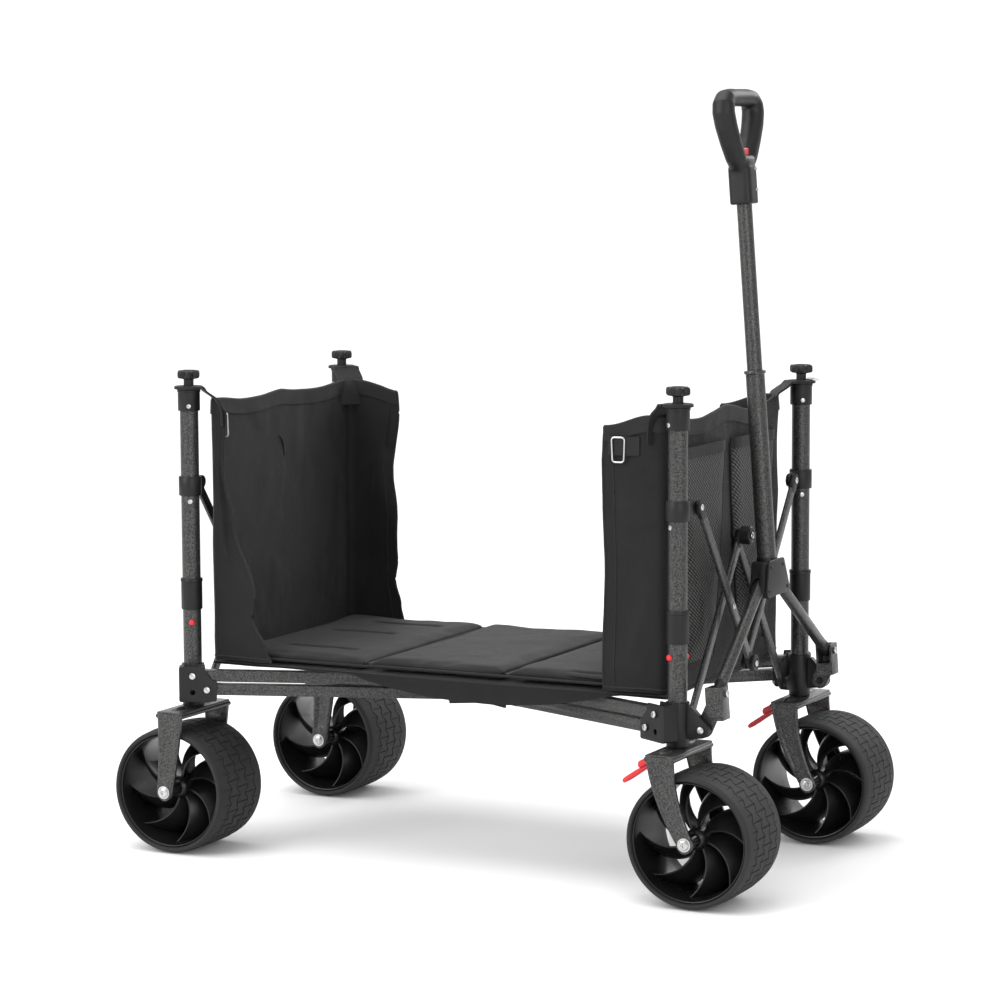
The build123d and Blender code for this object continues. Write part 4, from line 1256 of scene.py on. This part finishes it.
def buildGrip():
    s = handleShape
    right = [(10, 737), (20, 749), (34, 770), (46.5, 793), (52, 810), (50.5, 821), (43, 828.5), (28, 830),
            (10, 830)]
    line = [(p, q) for p, q in right] + [(-p, q) for p, q in reversed(right)]
    radius = [(11.5, 12.5, 13.0, 13.5, 13.6, 13.4, 12.6, 12.2, 12.0)[k] * mm for k in range(9)]
    radius += list(reversed(radius))
    loop = tubeAlong("loop", [onHandle(p * mm, q * mm) for p, q in line], radius, 28, True, 1.16, outDir)
    neck = prism("neck", roundedOutline([(-17 * mm, -16.4 * mm), (17 * mm, -16.4 * mm), (17 * mm,
            16.4 * mm), (-17 * mm, 16.4 * mm)], 8 * mm), onHandle(0, s["neckLow"]),
                 wideDir, -outDir, 0, s["neckTop"] - s["neckLow"])
    rows = []
    for q, half, deep in ((724, 16.8, 15.8), (732, 18, 15.8), (740, 21.5, 15.6), (747, 24, 14.8), (751,
            24, 12.5), (753, 21, 8)):
        rows.append([onHandle(half * mm * math.copysign(abs(math.cos(a)) ** 0.7, math.cos(a)), q * mm,
                deep * mm * math.copysign(abs(math.sin(a)) ** 0.7, math.sin(a)))
                     for a in [2 * math.pi * k / 28 for k in range(28)]])
    verts = [v for row in rows for v in row]
    faces = [(i * 28 + k, i * 28 + (k + 1) % 28, (i + 1) * 28 + (k + 1) % 28,
            (i + 1) * 28 + k) for i in range(5) for k in range(28)]
    faces += [tuple(range(28)), tuple(range(5 * 28, 6 * 28))]
    web = facedOut(meshFrom("web", verts, faces))
    grip = joinObjects("d_grip", [facedOut(loop), facedOut(neck), web])
    mod = grip.modifiers.new("remesh", "REMESH")
    mod.mode = "VOXEL"
    mod.voxel_size = s["voxel"]
    soft = grip.modifiers.new("soft", "SMOOTH")
    soft.factor = 0.5
    soft.iterations = 8
    bakeModifiers(grip)
    pocket = prism("pocket", [(-9.3 * mm, 738 * mm), (9.3 * mm, 738 * mm), (9.3 * mm, 780 * mm),
            (-9.3 * mm, 780 * mm)], handleBase, wideDir, upDir, -8.3 * mm, 8.3 * mm)
    bore = lathe("bore", [(0, 680 * mm), (10.7 * mm, 680 * mm), (10.7 * mm, 716 * mm), (0, 716 * mm)],
            handleBase, upDir, 32)
    cutBy(grip, [pocket, bore])
    smoothByAngle(grip, 50)
    place(grip, "handle_slider", blackPlastic, ("handle_grip",))
    r = s["inner"]
    tube = lathe("handle_inner_pole", [(0, s["innerLow"]), (r, s["innerLow"]), (r, 715 * mm), (0,
            715 * mm)], handleBase, upDir, 48)
    place(tube, "handle_slider", hammered, ("handle_inner_tube",))
    trigger = prism("release_trigger", roundedOutline([(-9 * mm, 745 * mm), (9 * mm, 745 * mm), (9 * mm,
            762 * mm), (-9 * mm, 762 * mm)], 2.5 * mm), handleBase, wideDir, upDir,
                    -8 * mm, 8 * mm, 1.4 * mm, 3)
    place(trigger, "trigger", redPlastic, ("grip_trigger",))
    for up in (705, 733):
        for across in (6, 12):
            screw("handle_slider", onHandle(across * mm, up * mm, 16.2 * mm), outDir, 1.7 * mm)
    print("handle done")


buildYoke()
buildStruts()
buildGrip()


# cloth: a closed thin sheet laid over a grid
def clothSheet(name, spots, thickness, uvTurn=0.0):
    # spots is rows of points; the sheet gets its thickness along the grid's own normals, and a UV map in
    # metres
    rows, cols = len(spots), len(spots[0])
    def grad(i, j, di, dj):
        a = spots[min(rows - 1, max(0, i + di))][min(cols - 1, max(0, j + dj))]
        b = spots[min(rows - 1, max(0, i - di))][min(cols - 1, max(0, j - dj))]
        return a - b
    verts, uvs = [], []
    across = [[0.0] * cols for i in range(rows)]
    along = [[0.0] * cols for i in range(rows)]
    for i in range(rows):
        for j in range(1, cols):
            across[i][j] = across[i][j - 1] + (spots[i][j] - spots[i][j - 1]).length
    for j in range(cols):
        for i in range(1, rows):
            along[i][j] = along[i - 1][j] + (spots[i][j] - spots[i - 1][j]).length
    c, s = math.cos(uvTurn), math.sin(uvTurn)
    for layer in (-0.5, 0.5):
        for i in range(rows):
            for j in range(cols):
                n = grad(i, j, 0, 1).cross(grad(i, j, 1, 0))
                n = n.normalized() if n.length > 1e-12 else Vector((0, 0, 1))
                verts.append(spots[i][j] + n * thickness * layer)
                u, v = across[i][j], along[i][j]
                uvs.append((u * c - v * s, u * s + v * c))
    faces = []
    other = rows * cols
    for i in range(rows - 1):
        for j in range(cols - 1):
            a, b, d, e = i * cols + j, i * cols + j + 1, (i + 1) * cols + j + 1, (i + 1) * cols + j
            faces.append((a, b, d, e))
            faces.append((other + a, other + e, other + d, other + b))
    loop = list(range(cols)) + [i * cols + cols - 1 for i in range(1,
            rows)] + [(rows - 1) * cols + j for j in range(cols - 2, -1, -1)]
    loop += [i * cols for i in range(rows - 2, 0, -1)]
    for a, b in zip(loop, loop[1:] + loop[:1]):
        faces.append((a, b, b + other, a + other))
    mesh = bpy.data.meshes.new(name)
    mesh.from_pydata([tuple(v) for v in verts], [], faces)
    layer = mesh.uv_layers.new(name="UVMap")
    for l in mesh.loops:
        layer.data[l.index].uv = uvs[l.vertex_index]
    mesh.update()
    obj = newObject(name, mesh)
    return facedOut(obj, 60)


def boxUV(obj, scale=1.0):  # UV map in metres taken from the nearest axis plane
    mesh = obj.data
    layer = mesh.uv_layers.get("UVMap") or mesh.uv_layers.new(name="UVMap")
    for poly in mesh.polygons:
        n = [abs(v) for v in poly.normal]
        k = n.index(max(n))
        a, b = [(1, 2), (0, 2), (0, 1)][k]
        for li in poly.loop_indices:
            co = mesh.vertices[mesh.loops[li].vertex_index].co
            layer.data[li].uv = (co[a] * scale, co[b] * scale)
    return obj


def wrinkle(s, h, seed, size=1.0):  # Soft hollows and a few sharp folds, in metres
    p = Vector((s * 9, h * 6, seed))
    soft = noise.noise(p) * 3.0 + noise.noise(p * 2.3) * 1.2
    fold = 1 - abs(noise.noise(Vector((s * 5 + h * 4, h * 3 - s * 3, seed + 7.3)))) * 5
    fine = noise.noise(p * 6) * 0.35
    return (soft * 1.3 + max(0, fold) * 3.4 + fine * 1.6) * mm * size


def ease(t):
    t = max(0.0, min(1.0, t))
    return t * t * (3 - 2 * t)


def lookUp(table, x):  # Value at x in (x, value) pairs, eased between them
    if x <= table[0][0]:
        return table[0][1]
    for (a, p), (b, q) in zip(table, table[1:]):
        if x <= b:
            return p + (q - p) * ease((x - a) / (b - a))
    return table[-1][1]


# end walls of the bag
wallShape = dict(half=200 * mm, low=269.5 * mm, high=640 * mm, thickness=2.2 * mm, columns=118, rows=74,
        cornerRadius=10 * mm, hem=15 * mm)
flapNear = {"rear": [(0.27, 95), (0.284, 88), (0.332, 66), (0.36, 70), (0.462, 31), (0.536, 20), (0.642, 26)],
            "front": [(0.27, 90), (0.35, 93), (0.45, 90), (0.55, 92), (0.64, 90)]}
flapFar = {"rear": [(0.27, 92), (0.30, 84), (0.335, 78), (0.37, 86), (0.43, 84), (0.5, 80), (0.64, 84)],
           "front": [(0.27, 90), (0.36, 86), (0.48, 91), (0.64, 88)]}


def wallPoint(end, faceX, s, h):
    # s runs from -1 (the right flap's edge) through 0 (the wall's middle) to 1 (the left flap's edge)
    w = wallShape
    toward = 1 if end == "rear" else -1
    r = w["cornerRadius"]
    z = h
    flap = lookUp(flapNear[end] if s < 0 else flapFar[end], h) * mm
    straight = w["half"] - r
    arc = math.pi / 2 * r
    wallShare = 0.66
    a = abs(s)
    sy = -1 if s < 0 else 1
    if a <= wallShare:
        d = (straight + arc) * a / wallShare
    else:
        d = straight + arc + (flap - r) * (a - wallShare) / (1 - wallShare)
    if d <= straight:
        p = Vector((faceX, sy * d, z))
        n = Vector((-toward, 0, 0))
    elif d <= straight + arc:
        q = (d - straight) / r
        p = Vector((faceX + toward * r * (1 - math.cos(q)), sy * (straight + r * math.sin(q)), z))
        n = Vector((-toward * math.cos(q), sy * math.sin(q), 0))
    else:
        p = Vector((faceX + toward * (r + d - straight - arc), sy * w["half"], z))
        n = Vector((0, sy, 0))
    return p, n, d


def buildWall(end):
    w = wallShape
    low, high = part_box("bag_%s_wall" % end)
    faceX = low.x + 2 * mm if end == "rear" else high.x - 2 * mm
    seed = 3.1 if end == "rear" else 11.7
    spots = []
    for i in range(w["rows"] + 1):
        t = i / w["rows"]
        row = []
        for j in range(w["columns"] + 1):
            s = -1 + 2 * j / w["columns"]
            # the top edge is drawn up to the corners and dips between them
            a = abs(s)
            dip = 13 * mm * ease(1 - abs(a - 0.3) / 0.36) * (1 if end == "front" else 0.55) + 16 * mm * ease((a - 0.70) / 0.30)
            dip += 3 * mm * noise.noise(Vector((s * 5, 0, seed)))
            top = w["high"] - max(0.0, dip)
            bottom = w["low"] + 2.0 * mm * (0.5 + 0.5 * noise.noise(Vector((s * 6, 4, seed))))
            h = bottom + (top - bottom) * t
            p, n, d = wallPoint(end, faceX, s, h)
            calm = ease(t / 0.1) * ease((1 - t) / 0.06) * 0.85 + 0.15
            depth = wrinkle(s * 0.42, h, seed) * calm
            flapPart = ease((a - 0.72) / 0.2)
            # flaps hang a little slack: they bow in, and their free edge waves
            bow = flapPart * (5 * mm * math.sin(math.pi * t) + 2.5 * mm * math.sin(3 * math.pi * t + seed))
            cornerCalm = 1 - 0.75 * ease(1 - abs(a - 0.66) / 0.06)
            p = p + n * (depth * cornerCalm - bow)
            # a drawn-in waist at the far corners
            if end == "rear" and a > 0.66 and s > 0:
                p.x += 3 * mm * math.sin(5 * math.pi * t) * flapPart
            p.x = max(low.x + 1.2 * mm, p.x) if end == "rear" else min(high.x - 1.2 * mm, p.x)
            p.y = max(-200.6 * mm, min(200.6 * mm, p.y))
            row.append(p)
        spots.append(row)
    wall = clothSheet("bag_%s_panel" % end, spots, w["thickness"])
    body = "corner_%s_right" % end
    place(wall, body, bagCloth, ("bag_%s_wall" % end,))
    trims = []
    rows, cols = w["rows"], w["columns"]
    # hem along the top, and a bound edge down each flap
    for face in (-1, 1):
        band = []
        for i in range(rows - 4, rows + 1):
            band.append([offsetSpot(spots, i, j,
                    face * (w["thickness"] / 2 + 0.9 * mm)) for j in range(cols + 1)])
        trims.append(clothSheet("hem", band, 1.4 * mm))
    edgeTop = [spots[rows][j] for j in range(cols + 1)]
    trims.append(uvTube("topRoll", edgeTop, 2.3 * mm))
    for j in (0, cols):
        line = [spots[i][j] for i in range(rows + 1)]
        trims.append(uvTube("edgeRoll", line, 2.0 * mm))
        step = 4 if j == 0 else -4
        line = [offsetSpot(spots, i, j + step, 0.6 * mm) for i in range(rows + 1)]
        trims.append(uvTube("zipLine", line, 1.5 * mm))
    bottomLine = [offsetSpot(spots, 1, j, 0) for j in range(cols + 1)]
    trims.append(uvTube("bottomSeam", bottomLine, 2.2 * mm))
    trim = joinObjects("bag_%s_trim" % end, trims)
    place(trim, body, webbing)
    return spots, wall, trim


def offsetSpot(spots, i, j, amount):
    rows, cols = len(spots), len(spots[0])
    i, j = max(0, min(rows - 1, i)), max(0, min(cols - 1, j))
    a = spots[i][min(cols - 1, j + 1)] - spots[i][max(0, j - 1)]
    b = spots[min(rows - 1, i + 1)][j] - spots[max(0, i - 1)][j]
    n = a.cross(b)
    return spots[i][j] + (n.normalized() if n.length > 0 else Vector((0, 0, 1))) * amount


def uvTube(name, points, radius, flatten=1.0, up=(0, 0, 1), steps=8):
    obj = tubeAlong(name, points, radius, steps, False, flatten, up)
    mesh = obj.data
    layer = mesh.uv_layers.new(name="UVMap")
    lengths = [0.0]
    for a, b in zip(points, points[1:]):
        lengths.append(lengths[-1] + (Vector(b) - Vector(a)).length)
    for l in mesh.loops:
        v = l.vertex_index
        layer.data[l.index].uv = (lengths[min(v // steps, len(lengths) - 1)],
                (v % steps) / steps * 2 * math.pi * (radius if not isinstance(radius, list) else radius[0]))
    return obj


def ribbon(name, points, wide, width, thickness):  # A flat strap through points; wide is its direction across
    side = Vector(wide).normalized()
    rows = []
    for p in points:
        rows.append([Vector(p) + side * width * (k / 6 - 0.5) for k in range(7)])
    return clothSheet(name, rows, thickness)


rearSpots, rearWall, rearTrim = buildWall("rear")
frontSpots, frontWall, frontTrim = buildWall("front")
softPieces = {"rear": [rearWall, rearTrim], "front": [frontWall, frontTrim]}


def wallSpot(spots, y, z, lift):  # The wall grid's point nearest to y and z, lifted off the cloth
    best = None
    for i in range(0, len(spots)):
        for j in range(24, len(spots[0]) - 24):
            p = spots[i][j]
            d = (p.y - y) ** 2 + (p.z - z) ** 2
            if best is None or d < best[0]:
                best = (d, i, j)
    return offsetSpot(spots, best[1], best[2], lift)


def dRing(name, centre, across, down, size, wire):
    w, h = size
    corner = min(w, h) * 0.22
    line = roundedOutline([(-w / 2, -h / 2), (w / 2, -h / 2), (w / 2 * 0.86, h / 2), (-w / 2 * 0.86,
            h / 2)], corner)
    return tubeAlong(name,
            [Vector(centre) + Vector(across).normalized() * p + Vector(down).normalized() * q for p,
            q in line], wire, 10, True, 1.0, Vector(across).cross(Vector(down)))


def buildRearDetails():
    # Slanted zip with its cord pull inside the rear wall, and the ring on its webbing at the near corner
    line = [wallSpot(rearSpots, y * mm, z * mm, -2.6 * mm) for y, z in ((-118, 545), (-100, 549), (-80,
            554), (-60, 560), (-40, 566), (-22, 571), (-8, 574))]
    teeth = uvTube("zip", line, 1.3 * mm)
    welt = uvTube("welt", [p + Vector((0, 0, -4.5 * mm)) for p in line], 1.0 * mm)
    welt2 = uvTube("weltTop", [p + Vector((0, 0, 4.0 * mm)) for p in line], 1.0 * mm)
    start = line[-1] + Vector((3 * mm, 0, 0))
    pull = uvTube("pull", [start, start + Vector((1.5 * mm, 5 * mm, -4 * mm)), start + Vector((1.5 * mm,
            11 * mm, -13 * mm)), start + Vector((1 * mm, 14 * mm, -26 * mm))], 1.3 * mm)
    knot = uvTube("knot", [start + Vector((1 * mm, 14 * mm, -25 * mm)), start + Vector((1 * mm, 14.5 * mm,
            -31 * mm))], 2.4 * mm)
    zipper = joinObjects("rear_zip_pocket", [teeth, welt, welt2, pull, knot])
    place(zipper, "corner_rear_right", webbing)
    softPieces["rear"].append(zipper)
    at = Vector((-352 * mm, -197 * mm, 605 * mm))
    strap = ribbon("ring_webbing_rear", [at + Vector((-4 * mm, 0.6 * mm, 26 * mm)), at + Vector((-2 * mm,
            1.6 * mm, 14 * mm)), at + Vector((-1 * mm, 1.8 * mm, -4 * mm)), at + Vector((-2 * mm,
            1.0 * mm, -24 * mm))],
                   (1, 0, 0), 17 * mm, 1.6 * mm)
    place(strap, "corner_rear_right", webbing)
    ring = dRing("d_ring_rear", at + Vector((1 * mm, 4.4 * mm, 0)), (0.80, 0.28, 0.0), (0.0, 0.1, -1),
            (16 * mm, 34 * mm), 1.25 * mm)
    place(ring, "corner_rear_right", zinc)
    softPieces["rear"] += [strap, ring]


def buildFrontDetails():  # Mesh pockets on the outside of the front wall, and the ring on the near flap
    for k, (y0, y1, seed) in enumerate(((-168, -12, 2.0), (12, 168, 5.0))):
        spots = []
        for i in range(29):
            t = i / 28
            z = (302 + (588 - 302) * t) * mm
            row = []
            for j in range(33):
                u = j / 32
                # the pocket narrows downwards
                inset = 34 * (1 - t) ** 1.4
                y = (y0 + inset + (y1 - y0 - 2 * inset) * u) * mm
                belly = (5 + 7 * t) * mm * math.sin(math.pi * u) ** 0.6 * ease(t / 0.12)
                base = wallSpot(frontSpots, y, z, 0).x
                x = min(338.5 * mm + 6 * mm,
                        base + 2.4 * mm + belly + 1.2 * mm * noise.noise(Vector((u * 6, t * 6, seed))))
                row.append(Vector((x, y, z)))
            spots.append(row)
        net = clothSheet("mesh_pocket_%s" % ("right" if k == 0 else "left"), spots, 1.0 * mm,
                uvTurn=math.radians(38))
        place(net, "corner_front_right", meshCloth)
        band = [[p + Vector((0.9 * mm, 0, (q - 1) * 7.5 * mm)) for p in spots[28]] for q in range(3)]
        hem = clothSheet("pocket_hem_%s" % ("right" if k == 0 else "left"), band, 2.2 * mm)
        place(hem, "corner_front_right", webbing)
        edges = [uvTube("edge", [row[j] + Vector((0.4 * mm, 0, 0)) for row in spots],
                1.7 * mm) for j in (0, 32)]
        rim = joinObjects("pocket_binding_%s" % ("right" if k == 0 else "left"), edges)
        place(rim, "corner_front_right", webbing)
        softPieces["front"] += [net, hem, rim]
    # ring on a stitched webbing patch, on the outside of the near flap
    flapY = min(p.y for p in frontSpots[60][:20])
    at = Vector((272 * mm, flapY - 2.4 * mm, 600 * mm))
    strap = ribbon("ring_webbing_front", [at + Vector((-20 * mm, 0.8 * mm, 0)), at + Vector((-10 * mm, 0,
            0)), at + Vector((6 * mm, -0.6 * mm, 0)), at + Vector((26 * mm, 0.8 * mm, 1 * mm))],
                   (0, 0, 1), 25 * mm, 1.8 * mm)
    place(strap, "corner_front_right", webbing)
    ring = dRing("d_ring_front", at + Vector((-4 * mm, -2.2 * mm, -5 * mm)), (1, 0.02, 0.0), (0.0, 0.0,
            -1), (19 * mm, 33 * mm), 1.3 * mm)
    place(ring, "corner_front_right", zinc)
    softPieces["front"] += [strap, ring]


buildRearDetails()
buildFrontDetails()


# tabs that hook over the posts' caps, and the side straps
def buildTabs():
    for c, (sx, sy) in corners.items():
        at = postAt[c]
        wallCorner = Vector(((-361 if sx < 0 else 329) * mm, sy * 196 * mm, 0))
        toWall = (wallCorner - at)
        toWall.z = 0
        reach = toWall.length
        d = toWall.normalized()
        wide = Vector((-d.y, d.x, 0))
        disc = lathe("disc", [(8.5 * mm, 656.2 * mm), (19 * mm, 655.9 * mm + 0.3 * mm), (20.5 * mm,
                656.6 * mm), (20.5 * mm, 660.0 * mm), (19 * mm, 660.8 * mm), (8.5 * mm, 660.6 * mm)], at,
                (0, 0, 1), 40, True)
        boxUV(disc)
        path = [(10, 658.8), (19, 658.4), (reach / mm * 0.6, 653), (reach / mm - 2, 644), (reach / mm + 4,
                634), (reach / mm + 6.5, 622), (reach / mm + 7, 604)]
        strap = ribbon("strap", [at + d * (p * mm) + Vector((0, 0, q * mm)) for p, q in path], wide,
                40 * mm, 2.8 * mm)
        tab = joinObjects("post_tab_" + c, [disc, strap])
        place(tab, "corner_" + c, webbing)
        if c == "front_left":
            ring = dRing("slot_ring", at + Vector((0, 0, 661.8 * mm)) - d * 17 * mm, d, wide, (9 * mm,
                    30 * mm), 1.2 * mm)
            place(ring, "corner_" + c, zinc)
    print("tabs done")


buildTabs()


# bag floor: four quarters, each going with its own floor bar
floorShape = dict(z=265.6 * mm, half=196.5 * mm, rows=30, columns=26, thickness=2.0 * mm)


def buildFloor():
    f = floorShape
    low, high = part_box("bag_floor")
    for c, (sx, sy) in corners.items():
        endX = low.x if sx < 0 else high.x
        spots = []
        for i in range(f["rows"] + 1):
            u = i / f["rows"]
            x = hubX + (endX - hubX) * u
            row = []
            for j in range(f["columns"] + 1):
                v = j / f["columns"]
                # the last columns hang down as the belly at the side
                sag = 27 * mm * max(0.0, 1 - ((x - 55 * mm) / (205 * mm)) ** 2)
                if v <= 0.8:
                    y, z = f["half"] * v / 0.8, f["z"] + 1.2 * mm * noise.noise(Vector((x * 9, v * 4, 1)))
                    z = min(z, 267.3 * mm)
                else:
                    q = (v - 0.8) / 0.2
                    y, z = f["half"] - 3.2 * mm * q - 1.5 * mm * math.sin(math.pi * q), f["z"] - (sag + 2.5 * mm) * q
                    z += 1.5 * mm * q * noise.noise(Vector((x * 14, 3, sy)))
                row.append(Vector((x, sy * y, z)))
            spots.append(row)
        quarter = clothSheet("bag_floor_" + c, spots, f["thickness"])
        place(quarter, "upper_bar_" + c, bagCloth, ("bag_floor",))
        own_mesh(quarter)
    print("floor done")


buildFloor()


# floor mat: three padded panels
matShape = dict(creases=(-123 * mm, 90 * mm), gap=3 * mm, thickness=9.5 * mm, voxel=5 * mm, pressure=4.0,
        cap=4.5 * mm, frames=20)


def swell(obj, pressure, cap, frames):
    # Cloth pressure puffs the panel up, and no point moves further than cap
    before = [v.co.copy() for v in obj.data.vertices]
    mod = obj.modifiers.new("cloth", "CLOTH")
    mod.settings.use_pressure = True
    mod.settings.uniform_pressure_force = pressure
    mod.settings.effector_weights.gravity = 0
    mod.settings.quality = 5
    mod.point_cache.frame_start, mod.point_cache.frame_end = 1, frames
    for frameNumber in range(1, frames + 1):
        bpy.context.scene.frame_set(frameNumber)
    bakeModifiers(obj)
    bpy.context.scene.frame_set(1)
    for v, b in zip(obj.data.vertices, before):
        move = v.co - b
        if move.length > cap:
            v.co = b + move.normalized() * cap
    return obj


def buildMatPanel(k, x0, x1, lift):
    m = matShape
    low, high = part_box("floor_mat")
    panel = roundedBox("mat_panel_%d" % k, (x0 + m["gap"], low.y + 5 * mm, low.z + 3.2 * mm + lift),
            (x1 - m["gap"], high.y - 5 * mm, low.z + 3.2 * mm + m["thickness"] + lift), 3 * mm, 3)
    mod = panel.modifiers.new("remesh", "REMESH")
    mod.mode = "VOXEL"
    mod.voxel_size = m["voxel"]
    bakeModifiers(panel)
    swell(panel, m["pressure"], m["cap"], m["frames"])
    sub = panel.modifiers.new("fine", "SUBSURF")
    sub.levels = sub.render_levels = 1
    bakeModifiers(panel)
    for v in panel.data.vertices:
        p = v.co
        top = p.z > low.z + 8 * mm + lift
        if top:
            v.co.z += 1.6 * mm * noise.noise(Vector((p.x * 14, p.y * 9,
                    k * 3.7))) + 0.5 * mm * noise.noise(Vector((p.x * 45, p.y * 30, k)))
        # slits along the rear panel
        if k == 0 and top:
            for y0, xa, xb in ((-118 * mm, -300 * mm, -168 * mm), (30 * mm, -310 * mm, -190 * mm),
                    (120 * mm, -290 * mm, -160 * mm)):
                along = ease((p.x - xa) / (20 * mm)) * ease((xb - p.x) / (20 * mm))
                v.co.z -= 4.2 * mm * along * math.exp(-((p.y - y0) / (5 * mm)) ** 2)
        v.co.z = max(low.z + 0.6 * mm, min(high.z + 7.5 * mm, v.co.z))
        v.co.y = max(low.y + 1 * mm, min(high.y - 1 * mm, v.co.y))
    boxUV(panel)
    smoothByAngle(panel, 70)
    return panel


def buildMat():
    m = matShape
    low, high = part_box("floor_mat")
    a, b = m["creases"]
    panels = [buildMatPanel(0, low.x, a, 0.0), buildMatPanel(1, a, b, 1.2 * mm), buildMatPanel(2, b,
            high.x, 2.0 * mm)]
    rolls = []
    z = low.z + m["thickness"] + 3 * mm
    # folded layers along the front panel's near edge
    for q, (y, dz) in enumerate(((-176, 1.5), (-160, 4.5))):
        line = [Vector(((112 + 24 * t) * mm, (y + 4 * math.sin(t * 0.9 + q)) * mm, z + dz * mm * min(1,
                t / 3))) for t in range(9)]
        rolls.append(uvTube("fold", line, [r * mm for r in (3, 6, 7, 7.5, 7.5, 7.5, 7.5, 7, 5)], 0.42, (0,
                0, 1), 12))
    for x in (a, b):
        line = [Vector((x, y * mm, low.z + 8.5 * mm)) for y in range(-186, 187, 12)]
        rolls.append(uvTube("seam", line, 3.4 * mm, 0.7, (0, 0, 1), 10))
    for y in (-1, 1):
        line = [Vector((x * mm, y * 190.5 * mm,
                low.z + 6.5 * mm + (1.2 * mm if x > -120 else 0))) for x in range(-354, 325, 12)]
        rolls.append(uvTube("piping", line, 2.0 * mm, 1.0, (0, 0, 1), 8))
    mat = joinObjects("padded_floor_mat", panels)
    place(mat, "mat", matCloth, ("floor_mat",))
    trim = joinObjects("mat_seams", rolls)
    place(trim, "mat", matCloth)
    for piece in (mat, trim):
        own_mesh(piece)
    print("mat done")


buildMat()

# each soft piece of the walls gets its own copy of its mesh
for end, pieces in softPieces.items():
    for piece in pieces:
        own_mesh(piece)
print("walls done")


layScrews()
bpy.data.objects.remove(screwHead)
print("screws done")

# floor, backdrop, lights and camera
stageSet = dict(tone=(0.86, 0.86, 0.86), reach=9.0, back=3.2, rise=4.0, bend=1.4)


def buildStage():
    s = stageSet
    yaw = math.radians(26.577)
    away = Vector((-math.sin(yaw), math.cos(yaw), 0))
    across = Vector((math.cos(yaw), math.sin(yaw), 0))
    line = [(-s["reach"], 0), (s["back"], 0)]
    line += [(s["back"] + s["bend"] * math.sin(math.radians(a)),
            s["bend"] * (1 - math.cos(math.radians(a)))) for a in range(6, 91, 6)]
    line += [(s["back"] + s["bend"], s["rise"])]
    verts, faces = [], []
    for d, z in line:
        for w in (-s["reach"], s["reach"]):
            p = away * d + across * w
            verts.append((p.x, p.y, z))
    for i in range(len(line) - 1):
        faces.append((2 * i, 2 * i + 1, 2 * i + 3, 2 * i + 2))
    sweep = meshFrom("studioSweep", verts, faces)
    mat = bpy.data.materials.new("studioPaper")
    mat.use_nodes = True
    shader = mat.node_tree.nodes["Principled BSDF"]
    shader.inputs["Base Color"].default_value = (*s["tone"], 1)
    shader.inputs["Roughness"].default_value = 0.9
    sweep.data.materials.append(mat)
    return away, across


def addLight(name, at, target, size, power, tone=(1, 1, 1)):
    data = bpy.data.lights.new(name, "AREA")
    data.shape = "RECTANGLE"
    data.size, data.size_y = size
    data.energy = power
    data.color = tone
    lamp = bpy.data.objects.new(name, data)
    bpy.context.scene.collection.objects.link(lamp)
    lamp.location = at
    lamp.rotation_euler = (Vector(target) - Vector(at)).to_track_quat("-Z", "Y").to_euler()
    return lamp


def buildLights(away, across):
    heart = Vector((0, 0, 0.45))
    addLight("topSoft", heart + Vector((0, 0, 3.0)) - across * 0.8, heart, (3.2, 3.2), 95)
    addLight("keySide", heart - across * 3.0 - away * 2.0 + Vector((0, 0, 1.6)), heart, (2.0, 2.2), 75)
    addLight("frontFill", heart + across * 1.6 - away * 4.4 + Vector((0, 0, 1.2)), heart, (2.6, 2.0), 60)
    addLight("rimBack", heart + across * 2.4 + away * 2.2 + Vector((0, 0, 1.9)), heart, (1.6, 1.6), 45)
    world = bpy.data.worlds.new("studio")
    world.use_nodes = True
    back = world.node_tree.nodes["Background"]
    back.inputs["Color"].default_value = (1, 1, 1, 1)
    back.inputs["Strength"].default_value = 0.85
    bpy.context.scene.world = world
    bpy.context.scene.view_settings.view_transform = "Standard"


def buildCamera():
    yaw, pitch, roll = (math.radians(a) for a in (26.577, -6.483, -0.257))
    forward = Vector((-math.sin(yaw) * math.cos(pitch), math.cos(yaw) * math.cos(pitch), math.sin(pitch)))
    right = Vector((math.cos(yaw), math.sin(yaw), 0))
    up = right.cross(forward)
    r2 = right * math.cos(roll) + up * math.sin(roll)
    u2 = up * math.cos(roll) - right * math.sin(roll)
    data = bpy.data.cameras.new("mainCamera")
    data.lens = 117.95
    data.sensor_width = 36
    cam = bpy.data.objects.new("mainCamera", data)
    bpy.context.scene.collection.objects.link(cam)
    cam.matrix_world = Matrix(((r2.x, u2.x, -forward.x, 2.06103), (r2.y, u2.y, -forward.y, -4.13950),
                               (r2.z, u2.z, -forward.z, 1.01989), (0, 0, 0, 1)))
    bpy.context.scene.camera = cam


stageAway, stageAcross = buildStage()
buildLights(stageAway, stageAcross)
buildCamera()
print("stage done")
